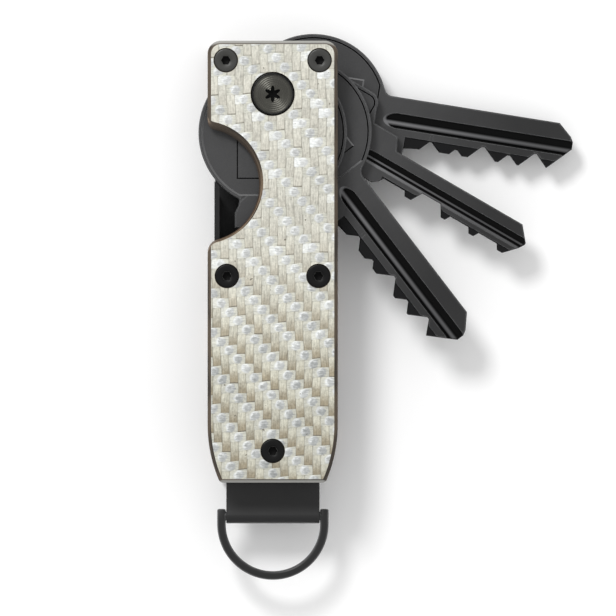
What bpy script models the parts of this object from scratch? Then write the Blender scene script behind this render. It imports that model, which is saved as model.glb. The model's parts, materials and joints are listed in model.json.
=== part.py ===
"""Key organiser: a slim case that carries four keys on one pivot, with a D-ring on a strap.

It lies on its back cover. +Y runs along the case from the ring to the pivot, +Z comes out of the front cover,
and the origin is the centre of the back cover's outer face. Sizes here are in millimetres, and the mesh
builders turn them into metres. Angles are in degrees.
"""

from math import asin, atan2, cos, degrees, pi, radians, sin, sqrt

import bmesh
import bpy
from mathutils import Matrix

MM = 0.001

# The case, seen from the front.
HALF_WIDTH = 11.8
HALF_LENGTH = 40.05
TOP_CORNER_R = 2.4
TAPER_START_Y = -29.6
TAPER_R = 25.5
BOTTOM_CORNER_R = 0.8
LEAST_CORNER_R = 0.15
EDGE_BEVEL = 0.64
EDGE_BEVEL_DEPTH = 0.5
LINER_INSET = 1.2

# The stack, from the back cover's outer face forwards.
COVER_T = 2.0
LINER_T = 0.8
KEY_T = 2.0
WASHER_T = 0.4
FACE_GAP = 0.05
KEY_COUNT = 4

# The thumb notch in the left edge, where it opens in the cover's outer face and where its sloping wall ends.
NOTCH_OUTER = {"centre": (-12.9, 14.35), "radius": 11.2}
NOTCH_INNER = {"centre": (-12.67, 13.93), "radius": 10.22}
NOTCH_LIP_R = (1.6, 1.2)
NOTCH_LIP_PAST = 8.0
LINER_NOTCH_MORE = 0.2

# The pivot.
PIVOT_Y = 30.4
BARREL_R = 2.5
PIVOT_BORE_R = 2.6
PIVOT_HEAD_R = 3.9
PIVOT_HEAD_T = 1.2
PIVOT_RIM = 0.45
PIVOT_CHAMFER = 0.2
PIVOT_DISH = (1.7, 0.3)
PIVOT_SOCKET_R = 1.55
PIVOT_SOCKET_WAIST = 0.72
PIVOT_SOCKET_DEPTH = 0.9
PIVOT_THREAD_R = 1.5
PIVOT_THREAD_LENGTH = 7.0
BARREL_PAST_LINER = 0.5
BARREL_BORE_DEPTH = 9.0
BARREL_SOCKET_DEPTH = 0.7
WASHER_R = 4.2

# The cover screws: place in the case, and how deep the front one goes below the cover's outer face.
SCREWS = {
    "top_left": ((-8.5, 36.5), 2.75),
    "top_right": ((8.5, 36.5), 2.75),
    "mid_left": ((-8.3, -2.6), 5.5),
    "mid_right": ((8.3, -2.6), 2.75),
    "bottom": ((0.0, -34.3), 10.0),
}
REAR_SCREW_REACH = {"top_left": 2.75, "top_right": 2.75, "mid_left": 5.5, "mid_right": 2.75, "bottom": 5.5}
SCREW_HEAD_R = 2.12
SCREW_HEAD_T = 1.0
SCREW_CHAMFER = 0.15
SCREW_R = 0.95
SCREW_SOCKET_R = 0.85
SCREW_SOCKET_DEPTH = 0.6
HEAD_SUNK = 0.05
BORE_CLEARANCE = 0.06

# The side spine and the bottom spacer.
SPINE_T = 0.9
SPINE_TOP_Y = 11.9
SPINE_STEP_OVERLAP = 1.0
SPINE_BOSS_R = 2.1
SPACER_TOP_Y = -27.0
END_GAP = 0.3

# The strap and its D-ring.
STRAP_HALF_WIDTH = 8.5
STRAP_T = 1.1
STRAP_TOP_Y = -30.5
ROLL_R = 1.33
RING_AXIS_Y = -46.35
RING_EAR_TOP_Y = -45.05
RING_ARC_Y = -47.8
RING_ARC_R = 9.38
RING_WIDTH = 1.56
RING_DEPTH = 1.7
RING_EDGE_R = 0.45
RING_BAR_R = 0.8
ROLL_BORE_R = 0.9

# A round-bowed key, measured from its bow's centre towards its tip; positive across is its plain edge.
BOW_R = 13.5
BLADE_HALF = 4.42
NECK_FILLET_R = 1.6
BOW_END_TURN = 334.6
WAIST = ((11.9, -6.25), (12.35, -6.1), (13.15, -6.2))
SHOULDER = ((14.55, -6.9), (17.25, -6.9), (17.4, -4.72), (19.75, -BLADE_HALF))
FIRST_CUT = 22.15
CUT_PITCH = 4.83
CUT_DEPTHS = (1.6, 0.95, 2.3, 1.5, 2.55)
CUT_FLAT = 0.45
TIP = ((43.75, -4.1), (46.3, -1.6), (47.85, 0.0), (47.85, 1.3), (47.3, 2.25), (44.9, BLADE_HALF))
GROOVE_START = 13.3
GROOVE_ACROSS = (-1.3, 1.45)
GROOVE_DEPTH = 0.5

# The square-bowed key, measured from the pivot. Its blade's cuts are levels: start, end and how far across.
SQUARE_BOW = ((-6.5, 17.6), (-11.1, 9.6))
SQUARE_NECK_CORNER_R = 2.2
SQUARE_END_CORNER_R = 4.4
SQUARE_NECK = (18.6, 23.5, -4.7, 4.9)
SQUARE_BLADE_START = 24.7
SQUARE_BLADE = (-3.9, 2.47)
SQUARE_CUT_SLOPE = 0.6
SQUARE_LEVELS = ((25.1, 29.5, -3.0), (32.6, 36.4, -1.8), (39.1, 42.9, -2.9), (45.1, 48.9, -2.9))
SQUARE_TIP = ((50.6, -3.9), (52.7, -1.7), (53.45, -0.55), (53.45, -0.2), (51.2, SQUARE_BLADE[1]))
SQUARE_GROOVE_START = 18.5
SQUARE_GROOVE_ACROSS = (-1.3, 0.45)

# Back to front: name, angle of the blade below +X, and the bow's centre from the pivot along and across.
ROUND_KEYS = {
    "key_top": (9.15, (7.65, -1.0)),
    "key_lower": (52.5, (8.0, -0.45)),
    "key_folded": (90.0, (6.95, 0.0)),
}
SQUARE_KEY_ANGLE = 30.1
STACK_ORDER = ("key_top", "key_middle", "key_lower", "key_folded")

ROUND_SEGMENTS = 48
SMALL_SEGMENTS = 24
SHARP_EDGE = 32.0

# How far a cutting body runs past what it cuts.
PAST = 3.0

# Levels that follow from the stack.
BACK_LINER_Z = COVER_T + FACE_GAP
BAY_Z = BACK_LINER_Z + LINER_T
KEY_PITCH = KEY_T + WASHER_T + 2 * FACE_GAP
BAY_TOP_Z = BAY_Z + KEY_COUNT * KEY_PITCH + WASHER_T + 2 * FACE_GAP
FRONT_LINER_TOP_Z = BAY_TOP_Z + LINER_T
FRONT_COVER_Z = FRONT_LINER_TOP_Z + FACE_GAP
FRONT_Z = FRONT_COVER_Z + COVER_T
MIDDLE_Z = FRONT_Z / 2


# ---------------------------------------------------------------- outlines


def arc(centre, radius, start, end, steps=8):
    """Points along an arc, both ends included."""
    angles = [radians(start + (end - start) * i / steps) for i in range(steps + 1)]
    return [(centre[0] + radius * cos(a), centre[1] + radius * sin(a)) for a in angles]


def case_outline(inset=0.0):
    """The case's outline, counter-clockwise from the middle of its right side, pulled in by inset."""
    side = HALF_WIDTH - inset
    taper_centre = (HALF_WIDTH - TAPER_R, TAPER_START_Y)
    taper_r = TAPER_R - inset
    corner_r = max(BOTTOM_CORNER_R - inset, LEAST_CORNER_R)
    corner_y = -HALF_LENGTH + inset + corner_r
    drop = corner_y - TAPER_START_Y
    corner_x = taper_centre[0] + sqrt((taper_r - corner_r) ** 2 - drop**2)
    turn = degrees(asin(drop / (taper_r - corner_r)))
    top = (HALF_WIDTH - TOP_CORNER_R, HALF_LENGTH - TOP_CORNER_R)
    right = arc((corner_x, corner_y), corner_r, -90, turn, 5) + arc(taper_centre, taper_r, turn, 0, 8)[1:]
    right += [(side, 0.0)] + arc(top, TOP_CORNER_R - inset, 0, 90, 8)
    return right + [(-x, y) for x, y in reversed(right)]


def notch_outline(centre, radius):
    """The notch, from outside the left edge round to outside it again, with its lips rounded."""
    sides = []
    for way, lip in zip((-1, 1), reversed(NOTCH_LIP_R)):
        x = -HALF_WIDTH + lip
        y = centre[1] + way * sqrt((radius + lip) ** 2 - (x - centre[0]) ** 2)
        meets = degrees(atan2(centre[1] - y, centre[0] - x))
        sides.append(((x, y), lip, meets, degrees(atan2(y - centre[1], x - centre[0]))))
    (low, low_r, low_meets, low_turn), (high, high_r, high_meets, high_turn) = sides
    points = arc(low, low_r, 180 - NOTCH_LIP_PAST, low_meets % 360, 7)
    points += arc(centre, radius, low_turn, high_turn, 32)[1:-1]
    points += arc(high, high_r, high_meets % 360, 180 + NOTCH_LIP_PAST, 7)
    beyond = -HALF_WIDTH - PAST
    return [(beyond, points[0][1])] + points + [(beyond, points[-1][1])]


def round_key_outline():
    """A round-bowed key, counter-clockwise from where its plain edge meets the bow."""
    reach = sqrt((BOW_R + NECK_FILLET_R) ** 2 - (BLADE_HALF + NECK_FILLET_R) ** 2)
    fillet = (reach, BLADE_HALF + NECK_FILLET_R)
    turn = degrees(atan2(fillet[1], fillet[0]))
    points = arc(fillet, NECK_FILLET_R, 270, 180 + turn, 6)
    points += arc((0, 0), BOW_R, turn, BOW_END_TURN, 56)[1:]
    points += list(WAIST + SHOULDER)
    for i, depth in enumerate(CUT_DEPTHS):
        middle = FIRST_CUT + CUT_PITCH * i
        half = CUT_FLAT / 2
        points += [(middle - half - depth, -BLADE_HALF), (middle - half, depth - BLADE_HALF)]
        points += [(middle + half, depth - BLADE_HALF)]
        if i + 1 < len(CUT_DEPTHS):
            points += [(middle + half + depth, -BLADE_HALF)]
    return points + list(TIP)


def square_key_outline():
    """The square-bowed key, counter-clockwise from where its plain edge meets the neck."""
    (start, end), (low, high) = SQUARE_BOW
    small, large = SQUARE_NECK_CORNER_R, SQUARE_END_CORNER_R
    neck_start, neck_end, neck_low, neck_high = SQUARE_NECK
    points = [(SQUARE_BLADE_START, SQUARE_BLADE[1]), (neck_end, neck_high), (neck_start, neck_high)]
    points += arc((end - small, high - small), small, 0, 90, 6)
    points += arc((start + large, high - large), large, 90, 180, 8)
    points += arc((start + large, low + large), large, 180, 270, 8)
    points += arc((end - small, low + small), small, 270, 360, 6)
    points += [(neck_start, neck_low), (neck_end, neck_low)]
    for begin, finish, level in SQUARE_LEVELS:
        rise = level - SQUARE_BLADE[0]
        slope = rise * SQUARE_CUT_SLOPE
        points += [(begin - slope, SQUARE_BLADE[0]), (begin, level), (finish, level)]
        points += [(finish + slope, SQUARE_BLADE[0])]
    return points + list(SQUARE_TIP)


def groove_outline(start, across, end):
    """A keyway groove that starts round and runs out past the tip."""
    low, high = across
    middle, half = (low + high) / 2, (high - low) / 2
    return [(end, high)] + arc((start + half, middle), half, 90, 270, 10) + [(end, low)]


# ---------------------------------------------------------------- mesh builders


def object_of(name, mesh, material=None):
    made = bpy.data.objects.new(name, mesh)
    bpy.context.collection.objects.link(made)
    if material:
        mesh.materials.append(material)
    return made


def mesh_of(name, bm, round_edges=True):
    """The finished mesh, in metres, shaded smooth but for its sharp edges."""
    bmesh.ops.recalc_face_normals(bm, faces=bm.faces)
    bmesh.ops.transform(bm, matrix=Matrix.Scale(MM, 4), verts=bm.verts)
    mesh = bpy.data.meshes.new(name)
    bm.to_mesh(mesh)
    bm.free()
    if round_edges:
        mesh.shade_smooth()
        mesh.set_sharp_from_angle(angle=radians(SHARP_EDGE))
    return mesh


def add_loft(bm, rings):
    """A closed body through rings of (x, y, z) points, each with as many points as the others."""
    rows = [[bm.verts.new(point) for point in ring] for ring in rings]
    count = len(rows[0])
    bm.faces.new(rows[0])
    bm.faces.new(rows[-1])
    for lower, upper in zip(rows, rows[1:]):
        for i in range(count):
            j = (i + 1) % count
            bm.faces.new((lower[i], lower[j], upper[j], upper[i]))


def at_height(outline, z):
    return [(x, y, z) for x, y in outline]


def add_prism(bm, outline, low, high):
    add_loft(bm, [at_height(outline, low), at_height(outline, high)])


def add_turned(bm, profile, centre=(0.0, 0.0), segments=SMALL_SEGMENTS):
    """A body turned about Z from (radius, z) points, bottom to top, solid from the first point to the last."""
    angles = [2 * pi * i / segments for i in range(segments)]
    rings = [[(centre[0] + r * cos(a), centre[1] + r * sin(a), z) for a in angles] for r, z in profile]
    add_loft(bm, rings)


def add_tube(bm, outer, inner, low, high, segments=ROUND_SEGMENTS):
    """A plain ring about Z."""
    angles = [2 * pi * i / segments for i in range(segments)]
    corners = ((outer, low), (outer, high), (inner, high), (inner, low))
    rows = [[bm.verts.new((r * cos(a), r * sin(a), z)) for a in angles] for r, z in corners]
    for row, following in zip(rows, rows[1:] + rows[:1]):
        for i in range(segments):
            j = (i + 1) % segments
            bm.faces.new((row[i], row[j], following[j], following[i]))


def guide_of(name, bm):
    """A body that only cuts another one or is joined to it, and is never rendered itself."""
    guide = object_of(name, mesh_of(name, bm))
    guide.hide_render = True
    guide.display_type = "WIRE"
    return guide


def join(made, other, operation="DIFFERENCE"):
    boolean = made.modifiers.new(other.name, "BOOLEAN")
    boolean.operation = operation
    boolean.solver = "EXACT"
    boolean.object = other


def finish(name, colour, roughness, metallic=0.0):
    made = bpy.data.materials.new(name)
    made.use_nodes = True
    shader = made.node_tree.nodes["Principled BSDF"]
    shader.inputs["Base Color"].default_value = (*colour, 1.0)
    shader.inputs["Roughness"].default_value = roughness
    shader.inputs["Metallic"].default_value = metallic
    return made


# ---------------------------------------------------------------- plates


def hole_cutter(name, face_z, way, with_heads):
    """The holes of one plate. face_z is its outer face, and way is +1 where that face looks to the front."""
    bm = bmesh.new()
    places = [(place, SCREW_HEAD_R, SCREW_HEAD_T, SCREW_R, SMALL_SEGMENTS) for place, _ in SCREWS.values()]
    places.append(((0.0, PIVOT_Y), PIVOT_HEAD_R, PIVOT_HEAD_T, PIVOT_BORE_R - BORE_CLEARANCE, ROUND_SEGMENTS))
    for place, head_r, head_t, shank_r, segments in places:
        bore = shank_r + BORE_CLEARANCE
        profile = [(bore, -PAST), (bore, PAST)]
        if with_heads:
            seat = -head_t - HEAD_SUNK - FACE_GAP
            profile = [(bore, -PAST), (bore, seat), (head_r + BORE_CLEARANCE, seat)]
            profile += [(head_r + BORE_CLEARANCE, PAST)]
        profile = [(r, face_z + way * z) for r, z in profile]
        add_turned(bm, profile, place, segments)
    return guide_of(name, bm)


def notch_cutter(name, inner_z, outer_z, more=0.0):
    """The thumb notch, sloping in from the cover's outer face. With more, a straight and slightly wider one."""
    bm = bmesh.new()
    inner = notch_outline(NOTCH_INNER["centre"], NOTCH_INNER["radius"] + more)
    outer = notch_outline(NOTCH_OUTER["centre"], NOTCH_OUTER["radius"])
    way = 1 if outer_z > inner_z else -1
    if more:
        add_prism(bm, inner, inner_z - PAST, outer_z + PAST)
    else:
        past = way * PAST
        rings = [(inner, inner_z - past), (inner, inner_z), (outer, outer_z), (outer, outer_z + past)]
        add_loft(bm, [at_height(ring, z) for ring, z in rings])
    return guide_of(name, bm)


def cover(name, inner_z, way, material):
    """A cover plate. way is +1 for the front cover, whose outer face looks to the front."""
    bm = bmesh.new()
    outer_z = inner_z + way * COVER_T
    rings = [(0.0, inner_z), (0.0, outer_z - way * EDGE_BEVEL_DEPTH), (EDGE_BEVEL, outer_z)]
    add_loft(bm, [at_height(case_outline(inset), z) for inset, z in rings])
    made = object_of(name, mesh_of(name, bm), material)
    join(made, notch_cutter(name + "_notch", inner_z, outer_z))
    join(made, hole_cutter(name + "_holes", outer_z, way, with_heads=True))
    return made


def liner(name, low, notched, material):
    bm = bmesh.new()
    add_prism(bm, case_outline(LINER_INSET), low, low + LINER_T)
    made = object_of(name, mesh_of(name, bm), material)
    if notched:
        join(made, notch_cutter(name + "_notch", low, low + LINER_T, more=LINER_NOTCH_MORE))
    join(made, hole_cutter(name + "_holes", low, 1, with_heads=False))
    return made


# ---------------------------------------------------------------- spine, spacers, strap, ring


def side_spine(material):
    """The wall along the left side, with a boss for the middle screws. Behind the front key it stops lower, so
    that a square bow folds in behind it."""
    low, high = BAY_Z + FACE_GAP, BAY_TOP_Z - FACE_GAP
    left = -HALF_WIDTH + LINER_INSET
    right = left + SPINE_T
    bottom = SPACER_TOP_Y + END_GAP
    (boss_x, boss_y), _ = SCREWS["mid_left"]
    span = degrees(asin((right - boss_x) / SPINE_BOSS_R))
    boss = arc((boss_x, boss_y), SPINE_BOSS_R, span - 90, 90 - span, 20)
    bm = bmesh.new()
    outline = [(left, bottom), (right, bottom)] + boss + [(right, SPINE_TOP_Y), (left, SPINE_TOP_Y)]
    add_prism(bm, outline, low, high)
    made = object_of("side_spine", mesh_of("side_spine", bm), material)

    _, (bow_u, _) = ROUND_KEYS["key_folded"]
    bow_y = PIVOT_Y - bow_u
    clear = BOW_R + END_GAP
    ends = [degrees(atan2(-sqrt(clear**2 - x**2), x)) for x in (right, left)]
    bm = bmesh.new()
    step = arc((0.0, bow_y), clear, ends[0], ends[1], 6)
    top_key_z = high - KEY_PITCH - WASHER_T / 2
    overlap_y = SPINE_TOP_Y - SPINE_STEP_OVERLAP
    add_prism(bm, [(left, overlap_y), (right, overlap_y)] + step, top_key_z, high)
    upper = guide_of("side_spine_upper", bm)
    join(made, upper, "UNION")

    bm = bmesh.new()
    bore = SCREW_R + BORE_CLEARANCE
    add_turned(bm, [(bore, low - PAST), (bore, high + PAST)], (boss_x, boss_y))
    join(made, guide_of("side_spine_bore", bm))
    return made


def bottom_spacer(name, low, high, material):
    """One half of the block that closes the bottom end and clamps the strap."""
    outline = [(x, y) for x, y in case_outline(LINER_INSET) if y < SPACER_TOP_Y]
    edge = HALF_WIDTH - LINER_INSET
    split = next(i for i, (x, _) in enumerate(outline) if x < 0)
    outline = outline[:split] + [(edge, SPACER_TOP_Y), (-edge, SPACER_TOP_Y)] + outline[split:]
    bm = bmesh.new()
    add_prism(bm, outline, low, high)
    made = object_of(name, mesh_of(name, bm), material)
    bm = bmesh.new()
    bore = SCREW_R + BORE_CLEARANCE
    add_turned(bm, [(bore, low - PAST), (bore, high + PAST)], SCREWS["bottom"][0])
    join(made, guide_of(name + "_bore", bm))
    return made


def ring_strap(material):
    """Sheet folded double round the ring's bar, with a hole for the bottom screw."""
    half = STRAP_T / 2
    neck = sqrt(ROLL_R**2 - half**2)
    roll = arc((RING_AXIS_Y, 0.0), ROLL_R, degrees(atan2(half, neck)), 360 - degrees(atan2(half, neck)), 30)
    profile = [(STRAP_TOP_Y, -half), (STRAP_TOP_Y, half)] + roll
    bm = bmesh.new()
    ends = (-STRAP_HALF_WIDTH, STRAP_HALF_WIDTH)
    add_loft(bm, [[(x, y, MIDDLE_Z + z) for y, z in profile] for x in ends])
    made = object_of("ring_strap", mesh_of("ring_strap", bm), material)
    bm = bmesh.new()
    bore = arc((RING_AXIS_Y, 0.0), ROLL_BORE_R, 0, 345, 23)
    ends = (-STRAP_HALF_WIDTH - PAST, STRAP_HALF_WIDTH + PAST)
    add_loft(bm, [[(x, y, MIDDLE_Z + z) for y, z in bore] for x in ends])
    hole = SCREW_R + BORE_CLEARANCE
    add_turned(bm, [(hole, MIDDLE_Z - PAST), (hole, MIDDLE_Z + PAST)], SCREWS["bottom"][0])
    join(made, guide_of("ring_strap_bores", bm))
    return made


def d_ring(material):
    """The ring's bow and ears as one bent bar of rounded section, with a round bar across between the ears."""
    half_w, half_d = RING_WIDTH / 2, RING_DEPTH / 2
    section = []
    for quarter, (way_x, way_z) in enumerate(((1, 1), (-1, 1), (-1, -1), (1, -1))):
        centre = (way_x * (half_w - RING_EDGE_R), way_z * (half_d - RING_EDGE_R))
        section += arc(centre, RING_EDGE_R, 90 * quarter, 90 * quarter + 90, 3)
    drop = RING_ARC_Y - RING_AXIS_Y
    bow = arc((0, drop), RING_ARC_R, 180, 360, 32)
    bend = [(x, y, x / RING_ARC_R, (y - drop) / RING_ARC_R) for x, y in bow]
    ear_top = RING_EAR_TOP_Y - RING_AXIS_Y
    path = [(-RING_ARC_R, ear_top, -1.0, 0.0)] + bend + [(RING_ARC_R, ear_top, 1.0, 0.0)]
    bm = bmesh.new()
    add_loft(bm, [[(x + out_x * s, y + out_y * s, z) for s, z in section] for x, y, out_x, out_y in path])
    made = object_of("d_ring", mesh_of("d_ring", bm), material)
    bar = arc((0.0, 0.0), RING_BAR_R, 0, 345, 23)
    bm = bmesh.new()
    add_loft(bm, [[(x, y, z) for y, z in bar] for x in (-RING_ARC_R, RING_ARC_R)])
    across = guide_of("d_ring_bar", bm)
    join(made, across, "UNION")
    for piece in (made, across):
        piece.location = (0.0, RING_AXIS_Y * MM, MIDDLE_Z * MM)
    return made


# ---------------------------------------------------------------- pivot, washers, screws


def socket_of(name, radius, depth, waist=1.0):
    """A socket below z = 0: a hexagon, or with a waist under 1 a star of six rounded lobes."""
    corners = []
    steps = 6 if waist == 1.0 else 24
    for i in range(steps):
        turn = 2 * pi * i / steps
        lobe = 1.0 if waist == 1.0 else (1 + waist) / 2 + (1 - waist) / 2 * cos(6 * turn)
        corners.append((radius * lobe * cos(turn), radius * lobe * sin(turn)))
    bm = bmesh.new()
    add_prism(bm, corners, -depth, PAST)
    return guide_of(name, bm)


def pivot_barrel(material):
    """The barrel, with its rear head sunk in the back cover and its bore open to the front."""
    rear, tip = HEAD_SUNK, FRONT_COVER_Z + BARREL_PAST_LINER
    profile = [(PIVOT_HEAD_R - PIVOT_CHAMFER, rear), (PIVOT_HEAD_R, rear + PIVOT_CHAMFER)]
    profile += [(PIVOT_HEAD_R, rear + PIVOT_HEAD_T)]
    profile += [(BARREL_R, rear + PIVOT_HEAD_T), (BARREL_R, tip)]
    bm = bmesh.new()
    add_turned(bm, profile, segments=ROUND_SEGMENTS)
    made = object_of("pivot_barrel", mesh_of("pivot_barrel", bm), material)
    bm = bmesh.new()
    bore = PIVOT_THREAD_R + BORE_CLEARANCE
    add_turned(bm, [(bore, tip - BARREL_BORE_DEPTH), (bore, tip + PAST)])
    bored = guide_of("pivot_barrel_bore", bm)
    socket = socket_of("pivot_barrel_socket", PIVOT_SOCKET_R, BARREL_SOCKET_DEPTH, PIVOT_SOCKET_WAIST)
    socket.rotation_euler = (pi, 0.0, 0.0)
    for guide in (bored, socket):
        join(made, guide)
    for piece in (made, bored, socket):
        piece.location.y = PIVOT_Y * MM
    return made


def pivot_screw(material):
    """The screw in the barrel's front end. Its head is dished towards a six-lobed socket."""
    head = PIVOT_HEAD_T
    dish_r, dish_depth = PIVOT_DISH
    profile = [(PIVOT_THREAD_R, -head - PIVOT_THREAD_LENGTH), (PIVOT_THREAD_R, -head), (PIVOT_HEAD_R, -head)]
    profile += [(PIVOT_HEAD_R, -PIVOT_CHAMFER), (PIVOT_HEAD_R - PIVOT_CHAMFER, 0.0)]
    profile += [(PIVOT_HEAD_R - PIVOT_RIM, 0.0), (dish_r, -dish_depth)]
    bm = bmesh.new()
    add_turned(bm, profile, segments=ROUND_SEGMENTS)
    made = object_of("pivot_screw", mesh_of("pivot_screw", bm), material)
    socket = socket_of("pivot_screw_socket", PIVOT_SOCKET_R, PIVOT_SOCKET_DEPTH, PIVOT_SOCKET_WAIST)
    join(made, socket)
    for piece in (made, socket):
        piece.location = (0.0, PIVOT_Y * MM, (FRONT_Z - HEAD_SUNK) * MM)
    return made


def washers(material):
    """One washer at each end of the pivot's stack and one between each two keys."""
    for i in range(KEY_COUNT + 1):
        bm = bmesh.new()
        low = BAY_Z + FACE_GAP + KEY_PITCH * i
        add_tube(bm, WASHER_R, PIVOT_BORE_R, low, low + WASHER_T, ROUND_SEGMENTS)
        name = f"pivot_washer_{i + 1}"
        made = object_of(name, mesh_of(name, bm), material)
        made.location.y = PIVOT_Y * MM


def cover_screw(name, place, reach, face_z, way, socket, material):
    """A socket screw with its head sunk in a cover. reach is how deep it goes below the cover's outer face."""
    profile = [(SCREW_R, HEAD_SUNK - reach), (SCREW_R, -SCREW_HEAD_T), (SCREW_HEAD_R, -SCREW_HEAD_T)]
    profile += [(SCREW_HEAD_R, -SCREW_CHAMFER), (SCREW_HEAD_R - SCREW_CHAMFER, 0.0)]
    bm = bmesh.new()
    add_turned(bm, profile)
    made = object_of(name, mesh_of(name, bm), material)
    made.location = (place[0] * MM, place[1] * MM, (face_z - way * HEAD_SUNK) * MM)
    made.rotation_euler = (0.0 if way > 0 else pi, 0.0, 0.0)
    own = bpy.data.objects.new(name + "_socket", socket)
    bpy.context.collection.objects.link(own)
    own.hide_render = True
    own.display_type = "WIRE"
    own.location = made.location
    own.rotation_euler = made.rotation_euler
    join(made, own)


def cover_screws(material):
    """Five screws in each cover. All their sockets are one mesh."""
    pattern = socket_of("screw_socket", SCREW_SOCKET_R, SCREW_SOCKET_DEPTH)
    socket = pattern.data
    bpy.data.objects.remove(pattern)
    for label, (place, reach) in SCREWS.items():
        cover_screw("front_screw_" + label, place, reach, FRONT_Z, 1, socket, material)
        cover_screw("rear_screw_" + label, place, REAR_SCREW_REACH[label], 0.0, -1, socket, material)


# ---------------------------------------------------------------- keys


def place_key(piece, name, angle):
    """Sets a key, or the body that cuts it, on the pivot at its level in the stack."""
    level = BAY_Z + WASHER_T + 2 * FACE_GAP + KEY_PITCH * STACK_ORDER.index(name)
    piece.location = (0.0, PIVOT_Y * MM, level * MM)
    piece.rotation_euler = (0.0, 0.0, radians(-angle))


def key(name, outline, groove, angle, material):
    """A flat key with its pivot hole at its origin and a keyway groove in both faces."""
    bm = bmesh.new()
    add_prism(bm, outline, 0.0, KEY_T)
    made = object_of(name, mesh_of(name, bm), material)
    bm = bmesh.new()
    add_turned(bm, [(PIVOT_BORE_R, -PAST), (PIVOT_BORE_R, KEY_T + PAST)], segments=ROUND_SEGMENTS)
    add_prism(bm, groove, -PAST, GROOVE_DEPTH)
    add_prism(bm, groove, KEY_T - GROOVE_DEPTH, KEY_T + PAST)
    cuts = guide_of(name + "_cuts", bm)
    join(made, cuts)
    for piece in (made, cuts):
        place_key(piece, name, angle)
    return made


def shifted(outline, by):
    return [(x + by[0], y + by[1]) for x, y in outline]


def keys(material):
    groove = groove_outline(GROOVE_START, GROOVE_ACROSS, TIP[2][0] + PAST)
    for name, (angle, bow) in ROUND_KEYS.items():
        key(name, shifted(round_key_outline(), bow), shifted(groove, bow), angle, material)
    groove = groove_outline(SQUARE_GROOVE_START, SQUARE_GROOVE_ACROSS, SQUARE_TIP[2][0] + PAST)
    key("key_middle", square_key_outline(), groove, SQUARE_KEY_ANGLE, material)


def main():
    for old in list(bpy.data.objects):
        bpy.data.objects.remove(old)

    composite = finish("twill_composite", (0.66, 0.64, 0.58), 0.35)
    black_steel = finish("black_steel", (0.02, 0.02, 0.021), 0.45, 0.6)
    black_strap = finish("black_strap", (0.028, 0.028, 0.029), 0.55)
    ring_black = finish("ring_black", (0.03, 0.03, 0.031), 0.4, 0.5)
    screw_black = finish("screw_black", (0.015, 0.016, 0.016), 0.35, 0.8)
    pivot_gunmetal = finish("pivot_gunmetal", (0.09, 0.095, 0.09), 0.25, 0.9)
    key_black = finish("key_black", (0.06, 0.06, 0.062), 0.5, 0.6)

    cover("back_cover", COVER_T, -1, composite)
    cover("front_cover", FRONT_COVER_Z, 1, composite)
    liner("back_liner", BACK_LINER_Z, False, black_steel)
    liner("front_liner", BAY_TOP_Z, True, black_steel)
    side_spine(black_steel)
    half_strap = STRAP_T / 2 + FACE_GAP
    bottom_spacer("bottom_spacer_rear", BAY_Z + FACE_GAP, MIDDLE_Z - half_strap, black_steel)
    bottom_spacer("bottom_spacer_front", MIDDLE_Z + half_strap, BAY_TOP_Z - FACE_GAP, black_steel)
    ring_strap(black_strap)
    d_ring(ring_black)
    pivot_barrel(pivot_gunmetal)
    pivot_screw(pivot_gunmetal)
    washers(black_steel)
    cover_screws(screw_black)
    keys(key_black)


main()
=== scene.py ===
"""Key organiser: the fine surfaces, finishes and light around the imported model.

Sizes here are in millimetres, and the mesh builders turn them into metres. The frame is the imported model's:
+Y runs along the case from the ring to the pivot and +Z comes out of the front cover. Angles are in degrees.
"""

import json
from math import acos, atan2, cos, degrees, pi, radians, sin, sqrt

import bmesh
import bpy
import numpy as np
from mathutils import Matrix, Vector
from mathutils.geometry import delaunay_2d_cdt


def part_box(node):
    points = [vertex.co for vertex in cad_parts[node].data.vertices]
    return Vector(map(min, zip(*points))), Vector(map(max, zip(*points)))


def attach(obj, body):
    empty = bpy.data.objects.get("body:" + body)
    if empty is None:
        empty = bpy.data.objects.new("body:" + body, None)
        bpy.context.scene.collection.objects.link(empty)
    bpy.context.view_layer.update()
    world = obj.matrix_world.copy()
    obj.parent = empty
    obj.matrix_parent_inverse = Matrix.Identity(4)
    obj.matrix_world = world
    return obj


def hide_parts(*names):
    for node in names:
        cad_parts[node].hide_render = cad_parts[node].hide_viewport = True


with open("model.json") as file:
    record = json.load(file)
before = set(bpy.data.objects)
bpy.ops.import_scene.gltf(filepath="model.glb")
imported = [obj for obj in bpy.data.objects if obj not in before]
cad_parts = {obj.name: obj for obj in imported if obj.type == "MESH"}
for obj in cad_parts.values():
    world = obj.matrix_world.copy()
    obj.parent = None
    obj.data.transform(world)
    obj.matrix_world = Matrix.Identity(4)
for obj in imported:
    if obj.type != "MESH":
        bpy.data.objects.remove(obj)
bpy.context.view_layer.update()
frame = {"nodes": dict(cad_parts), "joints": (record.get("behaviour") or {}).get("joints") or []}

MM = 0.001


def box_mm(node):
    """The low and high corners of a CAD node, in millimetres."""
    low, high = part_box(node)
    return low / MM, high / MM


JOINT_PLACE = {joint["name"]: Vector(joint["pos_m"]) / MM for joint in frame["joints"]}
FRONT_LOW, FRONT_HIGH = box_mm("front_cover")
BACK_LOW, _ = box_mm("back_cover")
PIVOT_Y = JOINT_PLACE["key_top_turn"].y
RING_AXIS = JOINT_PLACE["d_ring_swing"]

# The covers.
HALF_WIDTH = FRONT_HIGH.x
HALF_LENGTH = FRONT_HIGH.y
COVER_T = FRONT_HIGH.z - FRONT_LOW.z
TOP_CORNER_R = 2.4
TAPER_START_Y = -29.6
TAPER_R = 25.5
BOTTOM_CORNER_R = 0.8
LEAST_CORNER_R = 0.12
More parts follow.
